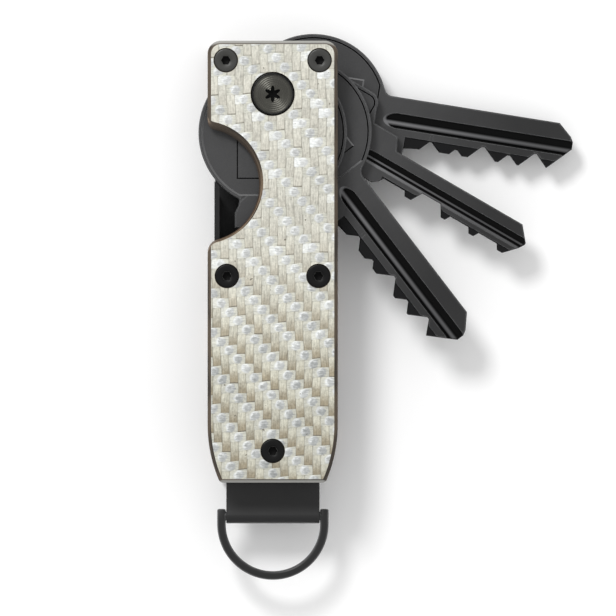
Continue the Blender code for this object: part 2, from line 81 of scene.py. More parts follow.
# From the outer face to the inner one: how far the edge is pulled in, and how deep that is.
COVER_EDGE = ((0.64, 0.0), (0.56, 0.014), (0.03, 0.43), (0.0, 0.48), (0.0, COVER_T - 0.06), (0.06, COVER_T))
HOLE_CHAMFER = 0.06
HOLE_CLEARANCE = 0.06
HEAD_SEAT = 0.1
COVER_SHARP = 34.0
NOTCH_OUTER = ((-12.9, 14.35), 11.2)
NOTCH_INNER = ((-12.67, 13.93), 10.22)
NOTCH_LIP_R = (2.4, 1.6)

# The cloth in the covers: a 2/2 twill whose floats step down to the right.
COLUMN = 1.5
ROW = 1.745
CLOTH_START = (-8.04, -30.04)
CLOTH_RISE = 0.07
CLOTH_LEAN = 0.009
CLOTH_WANDER = 0.1
# How fast the columns and the rows wander, in radians for each millimetre along X and along Y.
COLUMN_SWAY = (0.32, 0.53)
ROW_SWAY = (0.77, -0.21)
# How far a float's bulge drops to its ends and to its sides, and how high a warp float is beside a weft one.
FLOAT_END_DROP = 0.88
FLOAT_SIDE_DROP = 0.8
WARP_HEIGHT = 0.82
CLOTH_RELIEF = 0.075
CLOTH_GRID = 0.18
CLOTH_FADE = 0.35

# Screws. The rounded parts of a head are pairs: how far in from its edge or out from its socket, and how
# deep. The floor of a socket is pairs of radius and depth.
SCREW_HEAD_R = 2.12
SCREW_HEAD_T = 1.0
SCREW_R = 0.95
SCREW_RIM = ((0.0, 0.2), (0.05, 0.09), (0.15, 0.02), (0.26, 0.0))
SCREW_SOCKET_R = 0.88
SCREW_SOCKET_MOUTH = ((0.22, 0.0), (0.12, 0.04))
SCREW_SOCKET_TOP = 0.14
SCREW_SOCKET_DEPTH = 0.65
SCREW_SOCKET_FLOOR = ((0.45, 0.75), (0.04, 0.81))
TIP_CHAMFER = 0.15
SCREW_STEPS = 48
PIVOT_HEAD_R = 3.9
PIVOT_HEAD_T = 1.2
PIVOT_BORE_R = 2.6
PIVOT_THREAD_R = 1.5
PIVOT_RIM = ((0.0, 0.3), (0.04, 0.16), (0.13, 0.05), (0.24, 0.0))
PIVOT_RIM_R = 3.46
PIVOT_DISH = ((-0.06, 0.0), (0.0, 0.04), (0.05, 0.14), (0.14, 0.16), (0.7, 0.2))
PIVOT_STAR_R = 1.5
PIVOT_STAR_MOUTH = ((0.6, 0.24), (0.12, 0.27))
PIVOT_STAR_WALL = ((0.02, 0.29), (0.0, 0.36), (-0.02, 0.95))
PIVOT_STAR_FLOOR = ((0.8, 1.05), (0.04, 1.1))
STAR_WAIST = 0.5
PIVOT_STEPS = 96
PIVOT_HOLE_STEPS = 72
BARREL_R = 2.5
BARREL_BORE_DEPTH = 9.0
# A socket's wall reaches this much past the radius at its bottom.
SOCKET_DRAFT = 1.02

# The strap and its ring.
STRAP_HALF_WIDTH = 8.5
STRAP_T = 1.1
ROLL_R = 1.33
ROLL_BORE_R = 0.9
ROLL_EASE_R = 18.0
FOLD_GAP = 0.03
# Along each side of the strap, how far in a ring of its edge is and how much thinner the sheet is there.
STRAP_SIDE = ((0.0, 0.16), (0.05, 0.05), (0.16, 0.0))
RING_ARC_DROP = -1.45
RING_EAR_RISE = 1.3
RING_ARC_R = 9.38
RING_WIDTH = 1.56
RING_DEPTH = 1.7
RING_EDGE_R = 0.5
RING_BAR_R = 0.8
# At each end of the ring, how much thinner the bar gets, and how far that is from the end.
RING_END = ((0.0, 0.25), (0.07, 0.1), (0.22, 0.0))

# A round-bowed key, from its bow's centre towards its tip; positive across is its plain edge.
BOW_R = 13.5
BLADE_HALF = 4.42
NECK_FILLET_R = 1.6
BOW_END_TURN = 334.6
WAIST = ((11.9, -6.25), (12.35, -6.1), (13.15, -6.2))
SHOULDER = ((14.55, -6.9), (17.25, -6.9), (17.4, -4.72), (19.75, -BLADE_HALF))
FIRST_CUT = 22.15
CUT_PITCH = 4.83
CUT_DEPTHS = (1.6, 0.95, 2.3, 1.5, 2.55)
CUT_FLAT = 0.45
TIP = ((43.75, -4.1), (46.3, -1.6), (47.85, 0.0), (47.85, 1.3), (47.3, 2.25), (44.9, BLADE_HALF))
GROOVE_START = 12.9
GROOVE_TAPER = 2.8
GROOVE_RUN_IN = 0.7
# Across the blade, how deep the keyway's groove is at each corner of its section.
GROOVE_SECTION = (
    (-1.34, 0.0), (-1.22, 0.6), (-1.02, 0.6), (-0.86, 0.42), (-0.7, 0.28), (-0.5, 0.19), (-0.3, 0.19),
    (-0.1, 0.27), (0.12, 0.4), (0.38, 0.56), (1.36, 0.52), (1.5, 0.0),
)
BAND_START = 17.35
BAND_ACROSS = -2.6
BAND_DEPTH = 0.28
BAND_FALL = 0.07
BOW_RIM = 0.55
BOW_FIELD_END = 11.45
BOW_FIELD_DEPTH = 0.28
PANEL_HALF = (8.4, 6.56)
PANEL_RISE = 0.14
STEP = 0.25
BAND_STEP = 0.14
# A place across the key that is past its cuts.
BAND_REACH = -9.0
KEY_CHAMFER = 0.18
KEY_T = 2.0
KEY_BORE_STEPS = 64
OUTLINE_STEP = 0.45
LINE_STEP = 0.3
LINE_MARGIN = 0.06
# A face that is sunk more than this by the groove has the groove's finish.
LEAST_GROOVE = 0.03
KEY_SHARP = 24.0
# The finishes of a key's faces, in the order of its materials. The two step finishes are painted shade and
# painted highlight on the steps round the bow's fields.
MATTE, GROOVE, CUT, SHADED_STEP, LIT_STEP = range(5)
# The steps that fall this way, in the frame's X and Y, get the painted highlight, and the others get the
# painted shade.
LIT_WAY = (0.6, 0.8)

# The square-bowed key, from the pivot.
SQUARE_BOW = ((-6.5, 17.6), (-11.1, 9.6))
SQUARE_NECK_CORNER_R = 2.2
SQUARE_END_CORNER_R = 4.4
SQUARE_NECK = (18.6, 23.5, -4.7, 4.9)
SQUARE_BLADE_START = 24.7
SQUARE_BLADE = (-3.9, 2.47)
SQUARE_CUT_SLOPE = 0.6
SQUARE_LEVELS = ((25.1, 29.5, -3.0), (32.6, 36.4, -1.8), (39.1, 42.9, -2.9), (45.1, 48.9, -2.9))
SQUARE_TIP = ((50.6, -3.9), (52.7, -1.7), (53.45, -0.55), (53.45, -0.2), (51.2, SQUARE_BLADE[1]))
SQUARE_BAND_ACROSS = -2.75
SQUARE_PANEL_INSET = 2.0
SQUARE_GROOVE_START = 18.5
SQUARE_GROOVE_SECTION = (
    (-1.95, 0.0), (-1.85, 0.16), (-1.5, 0.16), (-1.38, 0.55), (-1.15, 0.55), (-0.95, 0.25), (-0.7, 0.25),
    (-0.45, 0.55), (0.35, 0.5), (0.45, 0.0),
)

# Name, angle of the blade below +X at rest, and the bow's centre from the pivot along and across.
ROUND_KEYS = {
    "key_top": (9.15, (7.65, -1.0)),
    "key_lower": (52.5, (8.0, -0.45)),
    "key_folded": (90.0, (6.95, 0.0)),
}
SQUARE_KEY_ANGLE = 30.1

# Finishes: how deep a coating's grain is, and where along a key the colour darkens from its bow to its tip.
GRAIN_DEPTH = 0.006
BLADE_RUN = (16.0, 50.0)

# Each light's place and width in metres, and its power in watts.
KEY_LIGHT = ((-0.36, 0.62, 0.8), 0.34, 6.2)
OVERHEAD_LIGHT = ((0.3, 0.1, 1.5), 1.6, 1.5)
ROOM_LIGHT = 0.72
FLOOR_REACH = 3000.0
FLOOR_DROP = 0.05

# The camera looks straight down on the front.
LENS = 400.0
SENSOR = 36.0
VIEW_WIDTH = 112.0
VIEW_CENTRE = (6.4, -8.4, 12.0)


# ---------------------------------------------------------------- outlines


def arc(centre, radius, start, end, steps):
    """Points along an arc, both ends included."""
    angles = [radians(start + (end - start) * i / steps) for i in range(steps + 1)]
    return [(centre[0] + radius * cos(a), centre[1] + radius * sin(a)) for a in angles]


def circle(centre, radius, steps):
    """A closed ring of points, which doesn't repeat its first one."""
    return arc(centre, radius, 0, 360 - 360 / steps, steps - 1)


def finer(loop, step, closed=True):
    """The same line with no stretch longer than step."""
    points = []
    ends = loop[1:] + (loop[:1] if closed else [])
    for (x, y), (to_x, to_y) in zip(loop, ends):
        count = max(1, round(sqrt((to_x - x) ** 2 + (to_y - y) ** 2) / step))
        points += [(x + (to_x - x) * i / count, y + (to_y - y) * i / count) for i in range(count)]
    return points if closed else points + [loop[-1]]


def pulled_in(loop, by):
    """A counter-clockwise loop drawn in by a small distance."""
    points = np.array(loop)
    along = np.roll(points, -1, axis=0) - points
    along /= np.linalg.norm(along, axis=1)[:, None]
    inward = np.stack([-along[:, 1], along[:, 0]], axis=1)
    corner = inward + np.roll(inward, 1, axis=0)
    reach = np.maximum((corner**2).sum(axis=1) / 2, 0.5)
    return [tuple(p) for p in points + corner * (by / reach)[:, None]]


def edge_distance(points, loop):
    """How far each point is from a closed loop: above zero inside it, below zero outside."""
    points = np.asarray(points, float)
    a = np.array(loop, float)
    b = np.roll(a, -1, axis=0)
    nearest = np.full(len(points), 1e9)
    crossed = np.zeros(len(points), bool)
    for (ax, ay), (bx, by) in zip(a, b):
        dx, dy = bx - ax, by - ay
        t = ((points[:, 0] - ax) * dx + (points[:, 1] - ay) * dy) / max(dx * dx + dy * dy, 1e-12)
        t = np.clip(t, 0, 1)
        nearest = np.minimum(nearest, np.hypot(points[:, 0] - ax - t * dx, points[:, 1] - ay - t * dy))
        spans = (ay > points[:, 1]) != (by > points[:, 1])
        if ay != by:
            crossed ^= spans & (points[:, 0] < dx * (points[:, 1] - ay) / dy + ax)
    return np.where(crossed, nearest, -nearest)


def notch_side(centre, radius, inset):
    """The thumb notch from its lower lip to its upper one, on an edge pulled in by inset."""
    sides = []
    for way, lip in zip((-1, 1), NOTCH_LIP_R):
        x = -HALF_WIDTH + lip
        y = centre[1] + way * sqrt((radius + lip) ** 2 - (x - centre[0]) ** 2)
        meets = degrees(atan2(centre[1] - y, centre[0] - x)) % 360
        leaves = degrees(acos((inset - lip) / lip))
        sides.append(((x, y), lip, meets, leaves, degrees(atan2(y - centre[1], x - centre[0]))))
    (low, low_r, low_meets, low_leaves, low_turn), (high, high_r, high_meets, high_leaves, high_turn) = sides
    points = arc(low, low_r, low_leaves, low_meets, 7)
    points += arc(centre, radius, low_turn, high_turn, 56)[1:-1]
    return points + arc(high, high_r, high_meets, 360 - high_leaves, 7)


def cover_outline(inset, depth):
    """A cover's outline with its notch, counter-clockwise, pulled in by inset at a depth below its face."""
    taper_r = TAPER_R - inset
    taper_x = HALF_WIDTH - TAPER_R
    corner_r = max(BOTTOM_CORNER_R - inset, LEAST_CORNER_R)
    corner_y = -HALF_LENGTH + inset + corner_r
    drop = corner_y - TAPER_START_Y
    corner_x = taper_x + sqrt((taper_r - corner_r) ** 2 - drop**2)
    turn = degrees(atan2(drop, corner_x - taper_x))
    right = arc((corner_x, corner_y), corner_r, -90, turn, 6)
    right += arc((taper_x, TAPER_START_Y), taper_r, turn, 0, 12)[1:]
    corner = arc((HALF_WIDTH - TOP_CORNER_R, HALF_LENGTH - TOP_CORNER_R), TOP_CORNER_R - inset, 0, 90, 14)
    share = depth / COVER_T
    (out_centre, out_r), (in_centre, in_r) = NOTCH_OUTER, NOTCH_INNER
    centre = [a + (b - a) * share for a, b in zip(out_centre, in_centre)]
    notch = notch_side(centre, out_r + (in_r - out_r) * share, inset)
    left = [(-x, y) for x, y in reversed(right)]
    return right + corner + [(-x, y) for x, y in reversed(corner)] + notch[::-1] + left


# ---------------------------------------------------------------- mesh builders


def mesh_object(name, bm, sharp=30.0, materials=()):
    """The finished object, in metres, shaded smooth but for its sharp edges."""
    bmesh.ops.remove_doubles(bm, verts=bm.verts, dist=1e-4)
    bmesh.ops.recalc_face_normals(bm, faces=bm.faces)
    bmesh.ops.transform(bm, matrix=Matrix.Scale(MM, 4), verts=bm.verts)
    mesh = bpy.data.meshes.new(name)
    bm.to_mesh(mesh)
    bm.free()
    mesh.shade_smooth()
    mesh.set_sharp_from_angle(angle=radians(sharp))
    for material in materials:
        mesh.materials.append(material)
    made = bpy.data.objects.new(name, mesh)
    bpy.context.scene.collection.objects.link(made)
    return made


def fitted(piece, node, body="case"):
    """The piece stands for its CAD node and moves with that node's body."""
    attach(piece, body)
    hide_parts(node)
    return piece


def add_band(bm, lower, upper, material=0):
    """Faces between two closed rings of (x, y, z) points with as many points each."""
    rows = [[bm.verts.new(point) for point in ring] for ring in (lower, upper)]
    count = len(rows[0])
    for i in range(count):
        j = (i + 1) % count
        face = bm.faces.new((rows[0][i], rows[0][j], rows[1][j], rows[1][i]))
        face.material_index = material


def add_loft(bm, rings, material=0, cap_ends=True):
    """A body, or with no caps a sleeve, through closed rings of (x, y, z) points."""
    rows = [[bm.verts.new(point) for point in ring] for ring in rings]
    count = len(rows[0])
    if cap_ends:
        bm.faces.new(rows[0])
        bm.faces.new(rows[-1])
    for lower, upper in zip(rows, rows[1:]):
        for i in range(count):
            j = (i + 1) % count
            bm.faces.new((lower[i], lower[j], upper[j], upper[i])).material_index = material


def at_height(outline, z):
    """A flat outline's points at one height."""
    return [(x, y, z) for x, y in outline]


def triangles_over(outer, holes=(), lines=(), points=()):
    """Triangles that fill an outer loop but for its round holes, with lines and loose points worked in.

    It returns the points, the triangles, and for each point its places in the given ones."""
    given = list(outer)
    edges = [(i, (i + 1) % len(given)) for i in range(len(given))]
    for centre, radius, steps in holes:
        start = len(given)
        given += circle(centre, radius, steps)
        edges += [(start + i, start + (i + 1) % steps) for i in range(steps)]
    for line in lines:
        start = len(given)
        given += line
        edges += [(start + i, start + i + 1) for i in range(len(line) - 1)]
    given += list(points)
    found = delaunay_2d_cdt([Vector(p) for p in given], edges, [], 1, 1e-5, True)
    places, faces, origins = np.array([tuple(p) for p in found[0]]), found[2], found[3]
    middles = np.array([places[list(face)].mean(axis=0) for face in faces])
    kept = edge_distance(middles, outer) > 0
    for centre, radius, _ in holes:
        kept &= np.hypot(middles[:, 0] - centre[0], middles[:, 1] - centre[1]) > radius * 0.995
    return places, [face for face, keep in zip(faces, kept) if keep], origins


def add_faces(bm, places, faces, material=0):
    """Faces over (x, y, z) places. Material is one number, or one for each face."""
    verts = {}
    for index, face in enumerate(faces):
        corners = []
        for i in face:
            if i not in verts:
                verts[i] = bm.verts.new(places[i])
            corners.append(verts[i])
        bm.faces.new(corners).material_index = int(material if np.isscalar(material) else material[index])


# ---------------------------------------------------------------- shader graphs


class Graph:
    """Adds nodes to one tree. A value given to a node is a number, a colour, or another node's output."""

    def __init__(self, tree):
        self.tree = tree

    def node(self, kind, values=(), **settings):
        made = self.tree.nodes.new("ShaderNode" + kind)
        for name, value in settings.items():
            setattr(made, name, value)
        for key, value in dict(values).items():
            self.give(made.inputs[key], value)
        return made

    def give(self, socket, value):
        if isinstance(value, bpy.types.NodeSocket):
            self.tree.links.new(value, socket)
        else:
            socket.default_value = value

    def math(self, operation, *values, clamp=False):
        made = self.node("Math", dict(enumerate(values)), operation=operation, use_clamp=clamp)
        return made.outputs[0]

    def plus(self, first, second):
        return self.math("ADD", first, second)

    def minus(self, first, second):
        return self.math("SUBTRACT", first, second)

    def times(self, first, second, clamp=False):
        return self.math("MULTIPLY", first, second, clamp=clamp)

    def times_plus(self, first, second, more):
        return self.math("MULTIPLY_ADD", first, second, more)

    def amount(self, value):
        """The value without its sign."""
        return self.math("ABSOLUTE", value)

    def length(self, x, y):
        """How far (x, y) is from the origin."""
        return self.math("SQRT", self.plus(self.times(x, x), self.times(y, y)))

    def scale(self, vector, by):
        """A vector or a colour times a number."""
        return self.node("VectorMath", {0: vector, 3: by}, operation="SCALE").outputs[0]

    def smooth(self, value, start, end):
        """0 below start and 1 above end, eased between them."""
        made = self.node("MapRange", {"Value": value, "From Min": start, "From Max": end},
                         interpolation_type="SMOOTHSTEP")
        return made.outputs["Result"]

    def span(self, value, low, high):
        """A value from 0 to 1 stretched to low and high."""
        return self.times_plus(value, high - low, low)

    def mix(self, factor, first, second, blend="MIX"):
        made = self.node("Mix", data_type="RGBA", blend_type=blend)
        self.give(made.inputs["Factor"], factor)
        self.give(made.inputs[6], first)
        self.give(made.inputs[7], second)
        return made.outputs[2]

    def choose(self, factor, first, second):
        """The first number at factor 0 and the second one at 1."""
        made = self.node("Mix", data_type="FLOAT")
        self.give(made.inputs["Factor"], factor)
        self.give(made.inputs[2], first)
        self.give(made.inputs[3], second)
        return made.outputs[0]

    def noise(self, place, scale, detail=2.0, roughness=0.5):
        """Soft noise from 0 to 1. Scale is its features in each unit of place."""
        values = {"Vector": place, "Scale": scale, "Detail": detail, "Roughness": roughness}
        return self.node("TexNoise", values).outputs["Fac"]

    def vector(self, x, y, z=0.0):
        return self.node("CombineXYZ", {"X": x, "Y": y, "Z": z}).outputs[0]

    def parts(self, vector):
        return self.node("SeparateXYZ", {"Vector": vector}).outputs

    def place_mm(self):
        """The surface point in the piece's own coordinates, in millimetres."""
        here = self.node("TexCoord").outputs["Object"]
        return self.scale(here, 1 / MM)

    def group(self, group, **values):
        """Places a shader group. An underscore in a value's name stands for a space."""
        made = self.tree.nodes.new("ShaderNodeGroup")
        made.node_tree = group
        for name, value in values.items():
            self.give(made.inputs[name.replace("_", " ")], value)
        return made.outputs


def new_group(name, inputs, outputs):
    """An empty shader group, its graph, its input sockets by name and its output node."""
    tree = bpy.data.node_groups.new(name, "ShaderNodeTree")
    kinds = {"value": "NodeSocketFloat", "vector": "NodeSocketVector", "colour": "NodeSocketColor"}
    for label, kind in inputs.items():
        tree.interface.new_socket(name=label, in_out="INPUT", socket_type=kinds[kind])
    for label, kind in outputs.items():
        tree.interface.new_socket(name=label, in_out="OUTPUT", socket_type=kinds[kind])
    graph = Graph(tree)
    given = {socket.name: socket for socket in tree.nodes.new("NodeGroupInput").outputs}
    out = tree.nodes.new("NodeGroupOutput").inputs
    return tree, graph, given, out


def twill_cloth_group():
    """Where each float of the twill lies: which yarn is on top, how high it bulges, and its fibres."""
    inputs = {"Place": "vector", "Column": "value", "Row": "value", "Start X": "value", "Start Y": "value",
              "Rise": "value", "Lean": "value", "Wander": "value"}
    outputs = {"Weft": "value", "Along": "value", "Across": "value", "Height": "value", "Fibre": "value",
               "Yarn": "value"}
    tree, g, given, out = new_group("Twill Cloth", inputs, outputs)
    flat_x, flat_y, _ = g.parts(given["Place"])
    sways = [g.times_plus(flat_y, by_y, g.times(flat_x, by_x)) for by_x, by_y in (COLUMN_SWAY, ROW_SWAY)]
    x, y = [g.times_plus(g.math("SINE", sway), given["Wander"], flat)
            for sway, flat in zip(sways, (flat_x, flat_y))]
    leant = g.minus(g.times_plus(y, given["Lean"], x), given["Start X"])
    column = g.math("DIVIDE", leant, given["Column"])
    risen = g.minus(g.minus(y, given["Start Y"]), g.times(leant, given["Rise"]))
    row = g.math("DIVIDE", risen, given["Row"])
    column_no = g.math("FLOOR", column)
    row_no = g.math("FLOOR", g.plus(row, 0.5))
    phase = g.math("FLOORED_MODULO", g.plus(g.plus(column_no, row_no), 0.25), 4.0)
    late = g.math("GREATER_THAN", phase, 3.0)
    weft = g.math("MAXIMUM", late, g.math("LESS_THAN", phase, 1.0))
    in_column = g.minus(column, column_no)
    in_row = g.minus(row, row_no)
    weft_along = g.minus(in_column, late)
    upper = g.math("GREATER_THAN", phase, 2.0)
    warp_along = g.plus(in_row, g.minus(upper, 0.5))
    warp_across = g.minus(in_column, 0.5)
    along = g.choose(weft, warp_along, weft_along)
    across = g.choose(weft, warp_across, in_row)
    to_ends = g.minus(1.0, g.times(g.times(along, along), FLOAT_END_DROP))
    twice = g.times(across, 2.0)
    to_sides = g.minus(1.0, g.times(g.times(twice, twice), FLOAT_SIDE_DROP))
    height = g.math("SQRT", g.times(to_ends, to_sides, clamp=True))
    weft_x = g.math("ROUND", g.times(g.minus(column, g.times(weft_along, weft)), 2.0))
    yarn_x = g.choose(weft, g.times(column_no, 2.0), weft_x)
    warp_shift = g.times(warp_along, g.minus(1.0, weft))
    yarn_y = g.math("ROUND", g.times(g.minus(row, g.choose(weft, warp_shift, in_row)), 2.0))
    yarn = g.node("TexWhiteNoise", {"Vector": g.vector(yarn_x, yarn_y, weft)}, noise_dimensions="3D")
    warp_fibre = g.noise(g.vector(g.times(x, 4.4), g.times(y, 0.55)), 1.0, 3.0, 0.6)
    weft_fibre = g.noise(g.vector(g.times(x, 0.75), g.times(y, 4.0), 7.0), 1.0, 3.0, 0.6)
    found = {"Weft": weft, "Along": along, "Across": across, "Height": height,
             "Fibre": g.choose(weft, warp_fibre, weft_fibre), "Yarn": yarn.outputs["Value"]}
    for label, value in found.items():
        g.give(out[label], value)
    return tree


def coating_group():
    """A thin coating's grain: its colour, roughness and height vary at two scales."""
    inputs = {"Place": "vector", "Colour": "colour", "Variation": "value", "Roughness": "value",
              "Grain Size": "value"}
    outputs = {"Colour": "colour", "Roughness": "value", "Height": "value"}
    tree, g, given, out = new_group("Coating Grain", inputs, outputs)
    grain = g.noise(given["Place"], g.math("DIVIDE", 1.0, given["Grain Size"]), 3.0, 0.6)
    patch = g.noise(given["Place"], 0.22, 3.0)
    both = g.plus(g.minus(grain, 0.5), g.times(g.minus(patch, 0.5), 0.8))
    g.give(out["Colour"], g.scale(given["Colour"], g.times_plus(both, given["Variation"], 1.0)))
    g.give(out["Roughness"], g.times_plus(both, 0.22, given["Roughness"]))
    g.give(out["Height"], grain)
    return tree


def edge_wear_group():
    """1 along convex edges, broken up by noise, and 0 on the flats."""
    inputs = {"Place": "vector", "Width": "value"}
    tree, g, given, out = new_group("Edge Wear", inputs, {"Wear": "value"})
    rounded = g.node("Bevel", {"Radius": given["Width"]}, samples=4).outputs[0]
    flat = g.node("NewGeometry").outputs["Normal"]
    lean = g.node("VectorMath", {0: rounded, 1: flat}, operation="DOT_PRODUCT").outputs["Value"]
    edge = g.smooth(g.minus(1.0, lean), 0.012, 0.09)
    worn = g.smooth(g.noise(given["Place"], 1.6, 4.0, 0.65), 0.26, 0.55)
    g.give(out["Wear"], g.times(edge, worn))
    return tree


def turning_marks_group():
    """Fine rings about the piece's own Z axis, as a lathe tool leaves them."""
    inputs = {"Place": "vector", "Pitch": "value"}
    tree, g, given, out = new_group("Turning Marks", inputs, {"Height": "value", "Shade": "value"})
    x, y, _ = g.parts(given["Place"])
    turns = g.math("DIVIDE", g.length(x, y), given["Pitch"])
    uneven = g.noise(g.vector(turns, 0.0), 0.7, 3.0)
    g.give(out["Height"], g.times(g.math("SINE", g.times(turns, 2 * pi)), uneven))
    g.give(out["Shade"], uneven)
    return tree


TWILL = twill_cloth_group()
COATING = coating_group()
WEAR = edge_wear_group()
TURNING = turning_marks_group()


def new_material(name, **values):
    """A material's graph and its shader, whose plain values are set by name."""
    made = bpy.data.materials.new(name)
    made.use_nodes = True
    shader = made.node_tree.nodes["Principled BSDF"]
    for label, value in values.items():
        shader.inputs[label.replace("_", " ")].default_value = value
    return made, Graph(made.node_tree), shader.inputs


def bump(g, height, depth):
    """The normal over a height from 0 to 1 that stands for a depth in millimetres."""
    return g.node("Bump", {"Height": height, "Distance": depth * MM}).outputs[0]


def feed(g, shader, colour, roughness, normal):
    """Gives the shader what changes over the surface."""
    g.give(shader["Base Color"], colour)
    g.give(shader["Roughness"], roughness)
    g.give(shader["Normal"], normal)


def coated_metal(name, colour, roughness, wear_and_sheen_colour, wear_width, variation=0.35, specular=0.5):
    """Steel under a thin coating that is lighter along its edges: rubbed wear, and a painted highlight along
    them.
    """
    made, g, shader = new_material(name, Specular_IOR_Level=specular)
    place = g.place_mm()
    coat = g.group(COATING, Place=place, Colour=(*colour, 1.0), Variation=variation, Roughness=roughness,
                   Grain_Size=0.25)
    wear_and_sheen = g.group(WEAR, Place=place, Width=wear_width * MM)["Wear"]
    # Lighter along the edges: wear, and a painted highlight along them.
    feed(g, shader, g.mix(wear_and_sheen, coat["Colour"], (*wear_and_sheen_colour, 1.0)),
         g.times_plus(wear_and_sheen, -0.12, coat["Roughness"]), bump(g, coat["Height"], GRAIN_DEPTH))
    return made


def key_coating():
    """Fine matte grey-black, lighter on the edges as rubbed wear and a painted highlight along them, and
    darker towards the tip.
    """
    made, g, shader = new_material("key_matte_coating", Specular_IOR_Level=0.25)
    place = g.place_mm()
    coat = g.group(COATING, Place=place, Colour=(0.05, 0.05, 0.051, 1.0), Variation=0.45, Roughness=0.44,
                   Grain_Size=0.22)
    wear_and_sheen = g.group(WEAR, Place=place, Width=0.16 * MM)["Wear"]
    kept = g.span(g.smooth(g.parts(place)["X"], *BLADE_RUN), 1.0, 0.36)
    # Lighter along the edges: wear, and a painted highlight along the chamfers.
    feed(g, shader, g.mix(wear_and_sheen, g.scale(coat["Colour"], kept), (0.15, 0.152, 0.155, 1.0)),
         g.times_plus(wear_and_sheen, -0.12, coat["Roughness"]), bump(g, coat["Height"], GRAIN_DEPTH))
    return made


def groove_coating():
    """Painted shade and painted highlight in the keyway's groove: near black where it is deep, and grey on
    its ridges, where it is shallow.
    """
    made, g, shader = new_material("key_groove_painted_light", Specular_IOR_Level=0.06)
    place = g.place_mm()
    coat = g.group(COATING, Place=place, Colour=(0.002, 0.002, 0.002, 1.0), Variation=0.3, Roughness=0.3,
                   Grain_Size=0.2)
    half = KEY_T / 2
    from_middle = g.amount(g.minus(g.parts(place)["Z"], half))
    # Painted highlight on the groove's shallow ridges, fading towards the tip.
    painted_highlight = g.math("POWER", g.smooth(from_middle, half - 0.5, half - 0.15), 1.6)
    painted_highlight = g.times(painted_highlight, g.span(g.smooth(g.parts(place)["X"], *BLADE_RUN), 1.0, 0.5))
    feed(g, shader, g.mix(painted_highlight, coat["Colour"], (0.17, 0.17, 0.175, 1.0)), coat["Roughness"],
         bump(g, coat["Height"], 0.004))
    return made


def ring_coating():
    """Satin black bar stock, with a painted highlight in grey along its rounded corners."""
    made, g, shader = new_material("ring_satin_coating", Specular_IOR_Level=0.3)
    place = g.place_mm()
    coat = g.group(COATING, Place=place, Colour=(0.01, 0.01, 0.0103, 1.0), Variation=0.5, Roughness=0.36,
                   Grain_Size=0.3)
    flats = g.smooth(g.amount(g.parts(place)["Z"]), RING_DEPTH / 2 - 0.22, RING_DEPTH / 2 + 0.02)
    uneven = g.span(g.noise(place, 0.8, 3.0), 0.3, 1.2)
    # Painted highlight along the bar's rounded corners and sides.
    painted_highlight = g.times(g.minus(1.0, flats), uneven, clamp=True)
    feed(g, shader, g.mix(painted_highlight, coat["Colour"], (0.13, 0.13, 0.132, 1.0)), coat["Roughness"],
         bump(g, coat["Height"], GRAIN_DEPTH))
    return made


